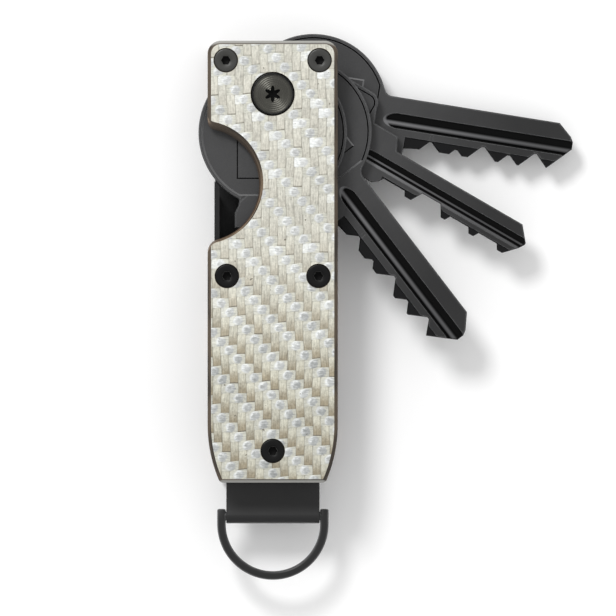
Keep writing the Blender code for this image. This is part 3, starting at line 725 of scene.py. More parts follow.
def laminate_face():
    """Silver and tan twill under a clear coat: silver knuckles of weft between tan floats of warp. Light is
    painted into it: a white highlight on each knuckle's upper left rim, glints at knuckles' left ends towards
    the pivot, warp floats pale at the upper end and tan at the lower end, and the cloth paler and shinier
    towards the pivot and darker towards the bottom.
    """
    made, g, shader = new_material("twill_laminate_face", Coat_Weight=0.3, Coat_Roughness=0.12, Coat_IOR=1.45)
    place = g.place_mm()
    cloth = g.group(TWILL, Place=place, Column=COLUMN, Row=ROW, Rise=CLOTH_RISE, Lean=CLOTH_LEAN,
                    Start_X=CLOTH_START[0], Start_Y=CLOTH_START[1], Wander=CLOTH_WANDER)
    y = g.parts(place)["Y"]
    # Painted light: the cloth is made paler and shinier towards the pivot.
    lit_towards_pivot = g.smooth(y, -22.0, 12.0)
    pale, tan, seam = (0.62, 0.605, 0.5, 1), (0.35, 0.3, 0.205, 1), (0.12, 0.105, 0.075, 1)
    highlight_white, grey, cream = (0.8, 0.82, 0.81, 1), (0.4, 0.415, 0.41, 1), (0.6, 0.595, 0.51, 1)
    silver, lit_upper_warp = (0.6, 0.61, 0.6, 1), (0.63, 0.62, 0.55, 1)
    along, across, yarn, fibre = cloth["Along"], cloth["Across"], cloth["Yarn"], cloth["Fibre"]
    mottle = g.noise(place, 2.2, 3.0, 0.65)
    uneven = g.minus(mottle, 0.5)
    strand = g.minus(fibre, 0.5)

    # Painted highlight and shade: each warp float is pale at its upper end and tan at its lower end.
    float_light_share = g.smooth(g.times_plus(uneven, 0.9, along), g.span(yarn, -1.1, -0.65), 0.75)
    warp = g.mix(float_light_share, tan, pale)
    # Painted light: warp floats paler towards the pivot.
    warp = g.mix(g.times(lit_towards_pivot, 0.78), warp, lit_upper_warp)
    side = g.times(g.smooth(g.amount(across), 0.38, 0.49), g.span(mottle, 0.0, 0.8))
    warp = g.mix(side, warp, seam)
    at_end = g.smooth(g.times(along, -1.0), 0.84, 0.94)
    warp = g.mix(g.times(at_end, g.smooth(yarn, 0.3, 1.2)), warp, seam)

    out_x = g.math("DIVIDE", g.minus(along, 0.06), 0.54)
    out_y = g.math("DIVIDE", across, 0.46)
    away = g.times_plus(uneven, 1.1, g.length(out_x, out_y))
    away = g.times_plus(strand, 0.7, away)
    lit_side = g.minus(g.times(out_y, 0.55), g.times(out_x, 0.85))
    lit_side = g.times_plus(strand, 1.8, lit_side)
    # Painted highlight: a white rim on the upper left side of each knuckle.
    rim = g.times(g.smooth(away, 0.2, 0.9), g.smooth(lit_side, -0.7, 0.85))
    # Painted sheen, with a random tone for each yarn: knuckles go from grey to silver towards the pivot.
    shine = g.math("MULTIPLY_ADD", lit_towards_pivot, 0.6, g.times(yarn, 0.35), clamp=True)
    core = g.mix(shine, grey, silver)
    knuckle = g.mix(rim, core, highlight_white)
    weft = g.mix(g.times(g.smooth(away, 0.85, 1.3), 0.92), knuckle, cream)
    left_end = g.smooth(g.times(along, -1.0), 0.3, 0.55)
    # Painted glint: a white flash at the left end of knuckles towards the pivot.
    painted_glint = g.times(g.times(left_end, lit_towards_pivot), g.smooth(yarn, 0.25, 1.1))
    weft = g.mix(painted_glint, weft, highlight_white)

    colour = g.mix(cloth["Weft"], warp, weft)
    tone_and_light_falloff = g.times_plus(strand, g.choose(cloth["Weft"], 1.15, 0.9), g.span(yarn, 0.88, 1.04))
    tone_and_light_falloff = g.times_plus(uneven, 0.75, tone_and_light_falloff)
    # Painted shade: the whole face is darker towards the bottom.
    tone_and_light_falloff = g.times(tone_and_light_falloff, g.span(g.smooth(y, -42.0, -6.0), 0.83, 0.975))
    colour = g.scale(colour, tone_and_light_falloff)
    sunk = g.minus(1.0, g.smooth(cloth["Height"], 0.14, 0.44))
    colour = g.mix(g.times(sunk, g.span(mottle, 0.1, 0.85)), colour, seam)
    specks = g.smooth(g.noise(place, 1.1, 1.0), 0.76, 0.79)
    colour = g.mix(g.times(specks, 0.8), colour, seam)
    feed(g, shader, colour, g.span(fibre, 0.34, 0.5), bump(g, fibre, 0.04))
    return made


def laminate_edge():
    """The machined edge: brown resin with the plies as lines level with the faces, darker on its inner half,
    and paler across the ends, as pale end grain with a painted highlight.
    """
    made, g, shader = new_material("laminate_machined_edge", Specular_IOR_Level=0.35)
    place = g.place_mm()
    x, y, z = g.parts(place)
    ply = g.noise(g.vector(g.times(x, 0.12), g.times(y, 0.12), g.times(z, 1.5)), 1.0, 2.0, 0.7)
    fibres = g.noise(g.vector(g.times(x, 2.2), g.times(y, 2.2), g.times(z, 6.0)), 1.0, 3.0)
    tone = g.times_plus(g.minus(fibres, 0.5), 0.5, g.smooth(ply, 0.34, 0.64))
    colour = g.mix(g.smooth(tone, 0.0, 1.0), (0.02, 0.013, 0.009, 1), (0.28, 0.2, 0.13, 1))
    faces = g.node("NewGeometry").outputs["Normal"]
    facing = g.node("VectorTransform", {"Vector": faces}, vector_type="NORMAL", convert_from="WORLD",
                    convert_to="OBJECT").outputs[0]
    middle_z = (FRONT_HIGH.z + BACK_LOW.z) / 2
    from_middle = g.amount(g.minus(z, middle_z))
    inner_face = FRONT_LOW.z - middle_z
    # Darker on the inner half of the edge, towards the middle of the case.
    inner_half_darker = g.minus(1.0, g.smooth(from_middle, inner_face + 0.3, inner_face + 1.2))
    colour = g.mix(g.times(inner_half_darker, 0.75), colour, (0.045, 0.024, 0.015, 1))
    chamfer = g.smooth(g.amount(g.parts(facing)["Z"]), 0.25, 0.5)
    colour = g.mix(g.times(chamfer, 0.8), colour, (0.038, 0.031, 0.024, 1))
    # Pale end grain and a painted highlight on the edge across the two ends.
    end_grain_and_highlight = g.smooth(g.amount(g.parts(facing)["Y"]), 0.35, 0.62)
    at_ends = g.smooth(g.amount(y), HALF_LENGTH - 1.6, HALF_LENGTH - 0.7)
    colour = g.mix(g.times(g.times(end_grain_and_highlight, at_ends), 0.8), colour, (0.38, 0.38, 0.36, 1))
    feed(g, shader, colour, g.span(fibres, 0.45, 0.7), bump(g, tone, 0.03))
    return made


def turned_gunmetal():
    """Polished gunmetal with the rings of its turning, which draw the light out across them."""
    made, g, shader = new_material("turned_gunmetal", Metallic=0.9, Anisotropic=0.85,
                                   Anisotropic_Rotation=0.25)
    place = g.place_mm()
    marks = g.group(TURNING, Place=place, Pitch=0.36)
    coat = g.group(COATING, Place=place, Colour=(0.1, 0.098, 0.086, 1.0), Variation=0.6, Roughness=0.4,
                   Grain_Size=0.12)
    shade = g.times_plus(marks["Shade"], 1.6, 0.2)
    g.give(shader["Tangent"], g.node("Tangent", direction_type="RADIAL", axis="Z").outputs[0])
    feed(g, shader, g.scale(coat["Colour"], shade), coat["Roughness"], bump(g, marks["Height"], 0.1))
    return made


# ---------------------------------------------------------------- covers


def cloth_height(x, y):
    """How high the cloth bulges at a point, from 0 to 1: the same lattice as the Twill Cloth group's."""
    sways = [by_x * x + by_y * y for by_x, by_y in (COLUMN_SWAY, ROW_SWAY)]
    x, y = [flat + CLOTH_WANDER * np.sin(sway) for flat, sway in zip((x, y), sways)]
    leant = x + CLOTH_LEAN * y - CLOTH_START[0]
    column = leant / COLUMN
    row = (y - CLOTH_START[1] - CLOTH_RISE * leant) / ROW
    column_no, row_no = np.floor(column), np.floor(row + 0.5)
    phase = np.mod(column_no + row_no, 4)
    weft = (phase == 0) | (phase == 3)
    weft_along = column - column_no - (phase == 3)
    warp_along = row - row_no + np.where(phase == 2, 0.5, -0.5)
    along = np.where(weft, weft_along, warp_along)
    across = np.where(weft, row - row_no, column - column_no - 0.5)
    crown = np.clip(1 - FLOAT_END_DROP * along**2, 0, 1)
    crown *= np.clip(1 - FLOAT_SIDE_DROP * (2 * across) ** 2, 0, 1)
    return np.sqrt(crown) * np.where(weft, 1.0, WARP_HEIGHT)


def screw_places(side):
    """The centres of one side's five cover screws, from their CAD nodes."""
    labels = ("top_left", "top_right", "mid_left", "mid_right", "bottom")
    boxes = {label: box_mm(f"{side}_screw_{label}") for label in labels}
    return {label: ((low.x + high.x) / 2, (low.y + high.y) / 2) for label, (low, high) in boxes.items()}


def cover(name, side, face_z, way, face, edge):
    """A cover with its cloth face, machined edge, notch and counterbored holes. way is -1 on the back."""

    def level(depth):
        return face_z - way * depth

    bm = bmesh.new()
    outlines = [(cover_outline(inset, depth), depth) for inset, depth in COVER_EDGE]
    for (upper, depth), (lower, deeper) in zip(outlines, outlines[1:]):
        add_band(bm, at_height(upper, level(depth)), at_height(lower, level(deeper)), 1)
    sunk = [(place, SCREW_HEAD_R, SCREW_R + HOLE_CLEARANCE, SCREW_HEAD_T, SCREW_STEPS)
            for place in screw_places(side).values()]
    sunk.append(((0.0, PIVOT_Y), PIVOT_HEAD_R, PIVOT_BORE_R, PIVOT_HEAD_T, PIVOT_HOLE_STEPS))
    mouths, bores = [], []
    for place, head_r, narrow, head_t, steps in sunk:
        wide, seat = head_r + HOLE_CLEARANCE, head_t + HEAD_SEAT
        steps_down = ((wide + HOLE_CHAMFER, 0.0), (wide, HOLE_CHAMFER), (wide, seat), (narrow, seat),
                      (narrow, COVER_T))
        rings = [at_height(circle(place, r, steps), level(depth)) for r, depth in steps_down]
        add_loft(bm, rings, 1, cap_ends=False)
        mouths.append((place, wide + HOLE_CHAMFER, steps))
        bores.append((place, narrow, steps))

    top = outlines[0][0]
    across = np.arange(-HALF_WIDTH, HALF_WIDTH, CLOTH_GRID)
    up = np.arange(-HALF_LENGTH, HALF_LENGTH, CLOTH_GRID)
    grid = np.stack(np.meshgrid(across, up), axis=-1).reshape(-1, 2)
    clear = edge_distance(grid, top) > CLOTH_GRID / 2
    for place, radius, _ in mouths:
        clear &= np.hypot(grid[:, 0] - place[0], grid[:, 1] - place[1]) > radius + CLOTH_GRID / 2
    places, faces, _ = triangles_over(top, mouths, points=[tuple(p) for p in grid[clear]])
    fade = edge_distance(places, top)
    for place, radius, _ in mouths:
        fade = np.minimum(fade, np.hypot(places[:, 0] - place[0], places[:, 1] - place[1]) - radius)
    sink = CLOTH_RELIEF * (1 - cloth_height(places[:, 0], places[:, 1])) * np.clip(fade / CLOTH_FADE, 0, 1)
    add_faces(bm, [(x, y, level(s)) for (x, y), s in zip(places, sink)], faces, 0)
    places, faces, _ = triangles_over(outlines[-1][0], bores)
    add_faces(bm, [(x, y, level(COVER_T)) for x, y in places], faces, 1)
    return fitted(mesh_object(name, bm, COVER_SHARP, (face, edge)), name)


# ---------------------------------------------------------------- keys


def round_key_outline(bow):
    """A round-bowed key with its pivot hole at the origin, counter-clockwise."""
    reach = sqrt((BOW_R + NECK_FILLET_R) ** 2 - (BLADE_HALF + NECK_FILLET_R) ** 2)
    fillet = (reach, BLADE_HALF + NECK_FILLET_R)
    turn = degrees(atan2(fillet[1], fillet[0]))
    points = arc(fillet, NECK_FILLET_R, 270, 180 + turn, 8)
    points += arc((0, 0), BOW_R, turn, BOW_END_TURN, 110)[1:]
    points += list(WAIST + SHOULDER)
    for i, depth in enumerate(CUT_DEPTHS):
        middle = FIRST_CUT + CUT_PITCH * i
        half = CUT_FLAT / 2
        points += [(middle - half - depth, -BLADE_HALF), (middle - half, depth - BLADE_HALF)]
        points += [(middle + half, depth - BLADE_HALF)]
        if i + 1 < len(CUT_DEPTHS):
            points += [(middle + half + depth, -BLADE_HALF)]
    return [(x + bow[0], y + bow[1]) for x, y in points + list(TIP)]


def square_bow_corners(neck_steps):
    """The square bow's four rounded corners, counter-clockwise from the neck."""
    (start, end), (low, high) = SQUARE_BOW
    small, large = SQUARE_NECK_CORNER_R, SQUARE_END_CORNER_R
    points = arc((end - small, high - small), small, 0, 90, neck_steps)
    points += arc((start + large, high - large), large, 90, 180, 14)
    points += arc((start + large, low + large), large, 180, 270, 14)
    return points + arc((end - small, low + small), small, 270, 360, neck_steps)


def square_key_outline():
    """The square-bowed key with its pivot hole at the origin, counter-clockwise."""
    neck_start, neck_end, neck_low, neck_high = SQUARE_NECK
    points = [(SQUARE_BLADE_START, SQUARE_BLADE[1]), (neck_end, neck_high), (neck_start, neck_high)]
    points += square_bow_corners(10)
    points += [(neck_start, neck_low), (neck_end, neck_low)]
    for begin, finish, level in SQUARE_LEVELS:
        slope = (level - SQUARE_BLADE[0]) * SQUARE_CUT_SLOPE
        points += [(begin - slope, SQUARE_BLADE[0]), (begin, level), (finish, level)]
        points += [(finish + slope, SQUARE_BLADE[0])]
    return points + list(SQUARE_TIP)


def ramp(distance, width=STEP):
    """0 before a step and 1 past its width."""
    return np.clip(distance / width, 0, 1)


def groove_start(start, section, w):
    """Where the groove begins at w across: it tapers in from its pointed start."""
    low, high = section[0][0], section[-1][0]
    share = np.clip((w - (low + high) / 2) / ((high - low) / 2), -1, 1)
    return start + GROOVE_TAPER * (1 - np.sqrt(1 - share**2))


def groove_depth(u, w, start, section):
    """A keyway groove that tapers in and runs to the tip."""
    ws, depths = zip(*section)
    return np.interp(w, ws, depths) * ramp(u - groove_start(start, section, w), GROOVE_RUN_IN)


def groove_lines(start, section, end):
    """The groove's start, and a line along each corner of its section."""
    low, high = section[0][0], section[-1][0]
    across = (low + high) / 2 - (high - low) / 2 * np.cos(np.linspace(0, pi, 25))
    begins = groove_start(start, section, across)
    ends = [[(u + shift, w) for u, w in zip(begins, across)] for shift in (0.0, GROOVE_RUN_IN)]
    along = [[(groove_start(start, section, w) + GROOVE_RUN_IN, w), (end, w)] for w, _ in section]
    return ends + along


class RoundBow:
    """The relief of a round-bowed key's faces, measured from the bow's centre."""

    section, start, end = GROOVE_SECTION, GROOVE_START, TIP[2][0]
    band_across, band_start = BAND_ACROSS, BAND_START

    @staticmethod
    def field(u, w):
        return np.minimum(BOW_R - BOW_RIM - np.hypot(u, w), BOW_FIELD_END - u)

    @staticmethod
    def panel(u, w):
        return np.minimum(PANEL_HALF[0] - np.abs(u), PANEL_HALF[1] - np.abs(w))

    @staticmethod
    def lines():
        for inside in (0.0, STEP):
            radius, end = BOW_R - BOW_RIM - inside, BOW_FIELD_END - inside
            turn = degrees(acos(end / radius))
            yield arc((0, 0), radius, turn, 360 - turn, 110)
            yield [(end, -sqrt(radius**2 - end**2)), (end, sqrt(radius**2 - end**2))]
            half_u, half_w = PANEL_HALF[0] - inside, PANEL_HALF[1] - inside
            ways = ((1, 1), (-1, 1), (-1, -1), (1, -1), (1, 1))
            yield [(half_u * way_u, half_w * way_w) for way_u, way_w in ways]


def square_bow_loop(inset=0.0):
    """The square bow's own rounded outline, drawn in by inset."""
    points = square_bow_corners(12)
    return pulled_in(points, inset) if inset else points


class SquareBow:
    """The relief of the square-bowed key's faces, measured from the pivot."""

    section, start, end = SQUARE_GROOVE_SECTION, SQUARE_GROOVE_START, SQUARE_TIP[2][0]
    band_across, band_start = SQUARE_BAND_ACROSS, SQUARE_BLADE_START

    @staticmethod
    def field(u, w):
        return edge_distance(np.stack([u, w], axis=1), square_bow_loop()) - BOW_RIM

    @staticmethod
    def panel(u, w):
        return SquareBow.field(u, w) - SQUARE_PANEL_INSET

    @staticmethod
    def lines():
        for edge in (BOW_RIM, BOW_RIM + SQUARE_PANEL_INSET):
            for inset in (edge, edge + STEP):
                loop = square_bow_loop(inset)
                yield loop + loop[:1]


def key_depth(relief, u, w):
    """How deep a key's face is below its rim: sunk field, raised panel, the cuts' band and the groove."""
    band = ramp(relief.band_across - w, BAND_STEP) * ramp(u - relief.band_start, BAND_STEP)
    fall = np.clip(relief.band_across - w, 0, None) * BAND_FALL
    depth = BOW_FIELD_DEPTH * ramp(relief.field(u, w)) - PANEL_RISE * ramp(relief.panel(u, w))
    return depth + band * (BAND_DEPTH + fall) + groove_depth(u, w, relief.start, relief.section)


def inside_runs(line, loop, margin):
    """The stretches of a line that stay inside a loop by a margin."""
    points = finer(line, LINE_STEP, closed=False)
    runs, run = [], []
    for point, clear in zip(points, edge_distance(points, loop) > margin):
        if clear:
            run.append(point)
        if run and not clear:
            runs.append(run)
            run = []
    return [run for run in runs + [run] if len(run) > 1]


def downhill(corners, depth):
    """Which way a triangle falls, in the plane of the key."""
    (ax, ay), (bx, by) = corners[1] - corners[0], corners[2] - corners[0]
    a_fall, b_fall = depth[1] - depth[0], depth[2] - depth[0]
    area = ax * by - ay * bx
    return (a_fall * by - b_fall * ay) / area, (b_fall * ax - a_fall * bx) / area


def step_finish(relief, u, w, faces, places, depth, angle):
    """For each triangle, 0 off the steps round the bow's fields, and on a step whether it gets the painted
    shade or the painted highlight, by the way it falls in the frame.
    """
    finish = np.zeros(len(faces), int)
    for edge in (relief.field(u, w), relief.panel(u, w)):
        finish[(edge > 0) & (edge < STEP)] = SHADED_STEP
    for i in np.flatnonzero(finish):
        fall_u, fall_w = downhill(places[list(faces[i])], depth[list(faces[i])])
        turn = radians(-angle)
        world_x = fall_u * cos(turn) - fall_w * sin(turn)
        world_y = fall_u * sin(turn) + fall_w * cos(turn)
        if LIT_WAY[0] * world_x + LIT_WAY[1] * world_y > 0:
            finish[i] = LIT_STEP
    return finish


def key_face_lines(relief, bow, face):
    """The lines along which a key's face is divided, so that each step in it has crisp edges."""
    band_end = relief.band_start + BAND_STEP
    inner = list(relief.lines()) + groove_lines(relief.start, relief.section, relief.end)
    for across in (relief.band_across, relief.band_across - BAND_STEP):
        inner.append([(band_end, across), (relief.end, across)])
    for start in (relief.band_start, band_end):
        inner.append([(start, relief.band_across), (start, BAND_REACH)])
    lines = [face + face[:1]]
    for line in inner:
        lines += inside_runs([(u + bow[0], w + bow[1]) for u, w in line], face, LINE_MARGIN)
    return lines + [circle((0, 0), PIVOT_BORE_R + KEY_CHAMFER, KEY_BORE_STEPS)]


def on_both_faces(points, depths):
    """The (x, y, z) places at these depths below a key's front face, and below its back face."""
    front = [(x, y, KEY_T - depth) for (x, y), depth in zip(points, depths)]
    return front, [(x, y, depth) for (x, y), depth in zip(points, depths)]


def key(name, relief, outline, bow, angle, level, materials):
    """A flat key, the same on both faces: rim, sunk bow field, keyway groove, and thinned cut edge."""

    def in_bow(points):
        return np.array(points)[:, 0] - bow[0], np.array(points)[:, 1] - bow[1]

    outer = finer(outline, OUTLINE_STEP)
    face = pulled_in(outer, KEY_CHAMFER)
    bore = circle((0, 0), PIVOT_BORE_R, KEY_BORE_STEPS)
    holes = [((0.0, 0.0), PIVOT_BORE_R, KEY_BORE_STEPS)]
    places, faces, origins = triangles_over(outer, holes, key_face_lines(relief, bow, face))
    depth = key_depth(relief, *in_bow(places))
    edge_depth = key_depth(relief, *in_bow(face)) + KEY_CHAMFER
    bore_depth = key_depth(relief, *in_bow(bore)) + KEY_CHAMFER
    for i, origin in enumerate(origins):
        for source in origin:
            if source < len(outer):
                depth[i] = edge_depth[source]
            elif source < len(outer) + len(bore):
                depth[i] += KEY_CHAMFER

    u, w = in_bow([places[list(corners)].mean(axis=0) for corners in faces])
    in_groove = groove_depth(u, w, relief.start, relief.section) > LEAST_GROOVE
    in_band = (w < relief.band_across) & (u > relief.band_start)
    steps = step_finish(relief, u, w, faces, places, depth, angle)
    finish = np.where(in_groove, GROOVE, np.where(steps > 0, steps, np.where(in_band, CUT, MATTE)))
    bm = bmesh.new()
    for side in on_both_faces(places, depth):
        add_faces(bm, side, faces, finish)
    add_band(bm, *on_both_faces(outer, edge_depth))
    add_band(bm, *on_both_faces(bore, bore_depth))
    made = mesh_object(name, bm, KEY_SHARP, materials)
    place = Matrix.Translation(Vector((0.0, PIVOT_Y, level)) * MM)
    made.matrix_world = place @ Matrix.Rotation(radians(-angle), 4, "Z")
    return fitted(made, name, name)


def keys(materials):
    """The four keys at their places in the fan."""
    for name, (angle, bow) in ROUND_KEYS.items():
        key(name, RoundBow, round_key_outline(bow), bow, angle, box_mm(name)[0].z, materials)
    level = box_mm("key_middle")[0].z
    key("key_middle", SquareBow, square_key_outline(), (0.0, 0.0), SQUARE_KEY_ANGLE, level, materials)


# ---------------------------------------------------------------- screws


def hexagon(angle):
    """A hexagon's radius at an angle, as a share of its corners'."""
    return cos(pi / 6) / cos(angle % (pi / 3) - pi / 6)


def star(angle):
    """A six-lobed star's radius at an angle, as a share of its tips'."""
    return (1 + STAR_WAIST) / 2 - (1 - STAR_WAIST) / 2 * cos(6 * angle)


def plain(_):
    """A round ring's radius at any angle."""
    return 1.0


def turned(name, profile, segments, sharp, materials, rim_r=None):
    """A body turned about Z through (radius, z, shape) rings, where shape makes the ring a hexagon or a star.

    The rings end with the bottom of the socket's wall and two rings of its floor. The materials are for the
    outside, the socket and, past rim_r, the rim."""
    angles = [2 * pi * i / segments for i in range(segments)]
    rings = []
    for radius, z, shape in profile:
        rings.append([(radius * shape(a) * cos(a), radius * shape(a) * sin(a), z) for a in angles])
    bm = bmesh.new()
    add_loft(bm, rings)
    socket_r = profile[-3][0] * SOCKET_DRAFT
    for face in bm.faces:
        middle = face.calc_center_median()
        out = max(vert.co.xy.length for vert in face.verts)
        in_socket = middle.z > -PIVOT_HEAD_T and out < socket_r
        face.material_index = 2 if rim_r and middle.xy.length > rim_r else int(in_socket)
    return mesh_object(name, bm, sharp, materials)


def shank(shank_r, tip_chamfer, length, head_r, head_t, head_chamfer):
    """The rings of a screw from its tip to the side of its head, whose face is at z = 0."""
    rings = [(shank_r - tip_chamfer, -length), (shank_r, tip_chamfer - length), (shank_r, -head_t)]
    rings += [(head_r - head_chamfer, -head_t), (head_r, head_chamfer - head_t)]
    return [(radius, z, plain) for radius, z in rings]


def stand_at(piece, x, y, face_z, way):
    """Puts a turned piece's z = 0 face in the plane of a cover's face. way is -1 on the back."""
    place = Matrix.Translation(Vector((x, y, face_z)) * MM)
    piece.matrix_world = place @ Matrix.Rotation(0 if way > 0 else pi, 4, "X")


def cover_screw(name, way, materials):
    """A cover screw with a hexagon socket, in the place of its CAD node."""
    low, high = box_mm(name)
    profile = shank(SCREW_R, TIP_CHAMFER, high.z - low.z, SCREW_HEAD_R, SCREW_HEAD_T, 0.08)
    profile += [(SCREW_HEAD_R - inset, -depth, plain) for inset, depth in SCREW_RIM]
    profile += [(SCREW_SOCKET_R + out, -depth, plain) for out, depth in SCREW_SOCKET_MOUTH]
    profile += [(SCREW_SOCKET_R, -depth, hexagon) for depth in (SCREW_SOCKET_TOP, SCREW_SOCKET_DEPTH)]
    profile += [(radius, -depth, plain) for radius, depth in SCREW_SOCKET_FLOOR]
    piece = turned(name, profile, SCREW_STEPS, 28.0, materials)
    stand_at(piece, (low.x + high.x) / 2, (low.y + high.y) / 2, high.z if way > 0 else low.z, way)
    return fitted(piece, name)


def pivot_head_rings():
    """The dished head of a pivot screw, from its edge in to the bottom of its star socket."""
    rings = [(PIVOT_HEAD_R - inset, -depth, plain) for inset, depth in PIVOT_RIM]
    rings += [(PIVOT_RIM_R - inset, -depth, plain) for inset, depth in PIVOT_DISH]
    rings += [(PIVOT_STAR_R + out, -depth, plain) for out, depth in PIVOT_STAR_MOUTH]
    rings += [(PIVOT_STAR_R + out, -depth, star) for out, depth in PIVOT_STAR_WALL]
    return rings + [(radius, -depth, plain) for radius, depth in PIVOT_STAR_FLOOR]


def pivot_half(name, profile, face_z, way, materials):
    """The screw or the barrel: its own shank under the same head."""
    piece = turned(name, profile + pivot_head_rings(), PIVOT_STEPS, 24.0, materials, PIVOT_RIM_R)
    stand_at(piece, 0.0, PIVOT_Y, face_z, way)
    fitted(piece, name)


def pivot(materials):
    """The pivot screw from the front, and the bored barrel that it turns into from the back."""
    low, high = box_mm("pivot_screw")
    profile = shank(PIVOT_THREAD_R, 0.2, high.z - low.z, PIVOT_HEAD_R, PIVOT_HEAD_T, 0.1)
    pivot_half("pivot_screw", profile, high.z, 1, materials)

    low, high = box_mm("pivot_barrel")
    length, bore = high.z - low.z, PIVOT_THREAD_R + HOLE_CLEARANCE
    bottom = BARREL_BORE_DEPTH - length
    bored = [(0.04, bottom), (bore, bottom), (bore, 0.1 - length), (bore + 0.1, -length)]
    profile = [(radius, z, plain) for radius, z in bored]
    profile += shank(BARREL_R, TIP_CHAMFER, length, PIVOT_HEAD_R, PIVOT_HEAD_T, 0.1)
    pivot_half("pivot_barrel", profile, low.z, -1, materials)


# ---------------------------------------------------------------- strap and ring


def ring_strap(material):
    """Sheet folded double round the ring's bar: one strip, whose edges are rounded."""
    _, high = box_mm("ring_strap")
    middle_z, axis_y = RING_AXIS.z, RING_AXIS.y
    half = STRAP_T / 2
    inner_bend = degrees(atan2(FOLD_GAP, sqrt(ROLL_BORE_R**2 - FOLD_GAP**2)))
    ease_y = axis_y + sqrt((ROLL_R + ROLL_EASE_R) ** 2 - (half + ROLL_EASE_R) ** 2)
    bend = degrees(atan2(half + ROLL_EASE_R, ease_y - axis_y))
    front_ease = arc((ease_y, half + ROLL_EASE_R), ROLL_EASE_R, 270, 180 + bend, 10)
    outer = [(high.y, half)] + front_ease + arc((axis_y, 0.0), ROLL_R, bend, 360 - bend, 40)[1:-1]
    outer += [(y, -z) for y, z in reversed(front_ease)] + [(high.y, -half)]
    bore = arc((axis_y, 0.0), ROLL_BORE_R, 360 - inner_bend, inner_bend, len(outer) - 3)
    inner = [(high.y, -FOLD_GAP)] + bore + [(high.y, FOLD_GAP)]
    section = outer + inner
    count = len(section)
    bm = bmesh.new()
    rows = []
    sides = [(along - STRAP_HALF_WIDTH, tuck) for along, tuck in STRAP_SIDE]
    for x, tuck in sides + [(-x, tuck) for x, tuck in reversed(sides)]:
        drawn = pulled_in(section, tuck) if tuck else section
        rows.append([bm.verts.new((x, y, middle_z + z)) for y, z in drawn])
    for first, second in zip(rows, rows[1:]):
        for i in range(count):
            j = (i + 1) % count
            bm.faces.new((first[i], first[j], second[j], second[i]))
    half_count = len(outer)
    for row in (rows[0], rows[-1]):
        for i in range(half_count - 1):
            bm.faces.new((row[i], row[i + 1], row[count - 2 - i], row[count - 1 - i]))
    return fitted(mesh_object("ring_strap", bm, 24.0, (material,)), "ring_strap")


def d_ring(material):
    """One bent bar of rounded section with softened ends, and the round bar that runs in the strap's roll."""
    half_w, half_d = RING_WIDTH / 2, RING_DEPTH / 2
    section = []
    for quarter, (way_x, way_z) in enumerate(((1, 1), (-1, 1), (-1, -1), (1, -1))):
        centre = (way_x * (half_w - RING_EDGE_R), way_z * (half_d - RING_EDGE_R))
        section += arc(centre, RING_EDGE_R, 90 * quarter, 90 * quarter + 90, 7)
    bow = arc((0.0, 0.0), 1.0, 180, 360, 96)
    path = [(RING_ARC_R * x, RING_ARC_DROP + RING_ARC_R * y, x, y, 0.0) for x, y in bow]
    for tuck, short in RING_END:
        rise = RING_EAR_RISE - short
        path = [(-RING_ARC_R, rise, -1.0, 0.0, tuck)] + path + [(RING_ARC_R, rise, 1.0, 0.0, tuck)]
    rings = []
    for x, y, out_x, out_y, tuck in path:
        drawn = [(s * (1 - tuck / half_w), z * (1 - tuck / half_d)) for s, z in section]
        rings.append([(x + out_x * s, y + out_y * s, z) for s, z in drawn])
    bm = bmesh.new()
    add_loft(bm, rings)
    bar = circle((0.0, 0.0), RING_BAR_R, 32)
    reach = RING_ARC_R - 0.1
    add_loft(bm, [[(x, y, z) for y, z in bar] for x in (-reach, reach)])
    made = mesh_object("d_ring", bm, 30.0, (material,))
    made.location = RING_AXIS * MM
    return fitted(made, "d_ring", "d_ring")


# ---------------------------------------------------------------- stage, light and camera


def floor():
    """A wide pale floor under the case."""
    made, g, shader = new_material("pale_floor", Specular_IOR_Level=0.2)
    tone = g.noise(g.place_mm(), 0.004, 2.0)
    g.give(shader["Base Color"], g.mix(tone, (0.955, 0.955, 0.955, 1), (0.98, 0.98, 0.98, 1)))
    g.give(shader["Roughness"], g.span(tone, 0.75, 0.9))
    bm = bmesh.new()
    corners = [(x * FLOOR_REACH, y * FLOOR_REACH) for x, y in ((-1, -1), (1, -1), (1, 1), (-1, 1))]
    bm.faces.new([bm.verts.new((x, y, BACK_LOW.z - FLOOR_DROP)) for x, y in corners])
    mesh_object("floor", bm, materials=(made,))


def area_light(name, place, size, power):
    """A round soft light that looks at the origin."""
    light = bpy.data.lights.new(name, "AREA")
    light.shape = "DISK"
    light.size = size
    light.energy = power
    made = bpy.data.objects.new(name, light)
    bpy.context.scene.collection.objects.link(made)
    made.location = place
    made.rotation_euler = Vector(place).to_track_quat("Z", "Y").to_euler()


def light_and_camera():
    """Soft studio light on a pale room, and a long lens over the front."""
    scene = bpy.context.scene
    area_light("key_light", *KEY_LIGHT)
    area_light("overhead_light", *OVERHEAD_LIGHT)
    scene.world = bpy.data.worlds.new("studio")
    scene.world.use_nodes = True
    sky = scene.world.node_tree.nodes["Background"].inputs
    sky["Color"].default_value = (1.0, 1.0, 1.0, 1.0)
    sky["Strength"].default_value = ROOM_LIGHT
    scene.view_settings.view_transform = "Standard"
    camera = bpy.data.objects.new("camera", bpy.data.cameras.new("camera"))
    scene.collection.objects.link(camera)
    camera.data.lens = LENS
    camera.data.sensor_width = SENSOR
    camera.data.clip_start = 0.1
    camera.data.clip_end = 20.0
    x, y, z = VIEW_CENTRE
    camera.location = Vector((x, y, z + VIEW_WIDTH * LENS / SENSOR)) * MM
    scene.camera = camera


# ---------------------------------------------------------------- assembly


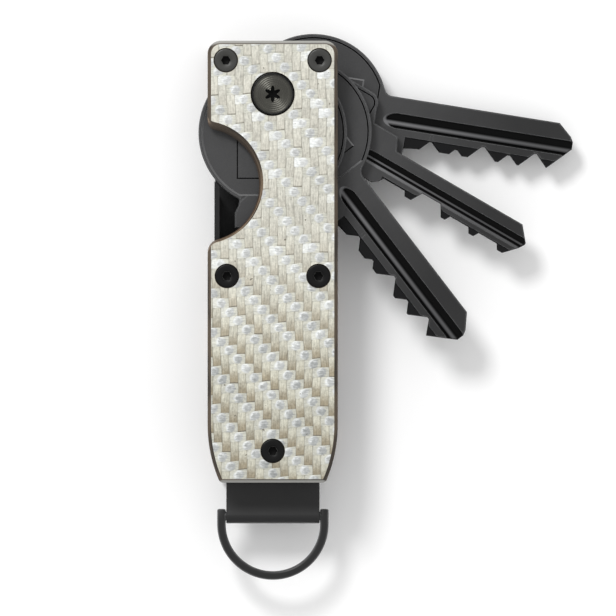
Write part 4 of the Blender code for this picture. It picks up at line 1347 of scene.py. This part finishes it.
def main():
    """Every piece with its finish, then the stage."""
    face, edge = laminate_face(), laminate_edge()
    cover("front_cover", "front", FRONT_HIGH.z, 1, face, edge)
    cover("back_cover", "rear", BACK_LOW.z, -1, face, edge)

    cut = coated_metal("key_cut_coating", (0.004, 0.004, 0.0045), 0.42, (0.03, 0.03, 0.032), 0.1,
                       specular=0.15)
    # Painted shade and painted highlight for the steps round the bows' fields.
    step = coated_metal("key_step_painted_shade", (0.002, 0.002, 0.002), 0.5, (0.01, 0.01, 0.01), 0.04, specular=0.06)
    painted_highlight = coated_metal("key_step_painted_highlight", (0.15, 0.15, 0.152), 0.45, (0.2, 0.2, 0.202), 0.08)
    keys((key_coating(), groove_coating(), cut, step, painted_highlight))

    # The two top screws have a lighter grey oxide than the others.
    worn_oxide = coated_metal("screw_worn_oxide", (0.026, 0.026, 0.023), 0.4, (0.1, 0.1, 0.092), 0.1,
                              variation=0.7)
    black_oxide = coated_metal("screw_black_oxide", (0.003, 0.003, 0.003), 0.4, (0.11, 0.11, 0.105), 0.12,
                               variation=0.6, specular=0.15)
    # Painted shade: the screws' and the pivot's sockets are near black inside.
    socket = coated_metal("socket_painted_shade", (0.0015, 0.0015, 0.0015), 0.4, (0.01, 0.01, 0.01), 0.05,
                          specular=0.06)
    for side, way in (("front", 1), ("rear", -1)):
        for label in screw_places(side):
            head = worn_oxide if label.startswith("top") else black_oxide
            cover_screw(f"{side}_screw_{label}", way, (head, socket))
    # The pivot's rounded rim gets the black oxide as painted shade on the bevel.
    pivot((turned_gunmetal(), socket, black_oxide))

    ring_strap(coated_metal("strap_satin_coating", (0.011, 0.011, 0.0113), 0.34, (0.05, 0.05, 0.052), 0.12,
                            specular=0.35))
    d_ring(ring_coating())

    steel = coated_metal("steel_black_coating", (0.013, 0.013, 0.0135), 0.4, (0.05, 0.05, 0.051), 0.1,
                         specular=0.2)
    washer = coated_metal("washer_black", (0.012, 0.012, 0.012), 0.5, (0.04, 0.04, 0.04), 0.06)
    for node, part in frame["nodes"].items():
        if not part.hide_render:
            part.data.materials.clear()
            part.data.materials.append(washer if "washer" in node else steel)

    floor()
    light_and_camera()


main()
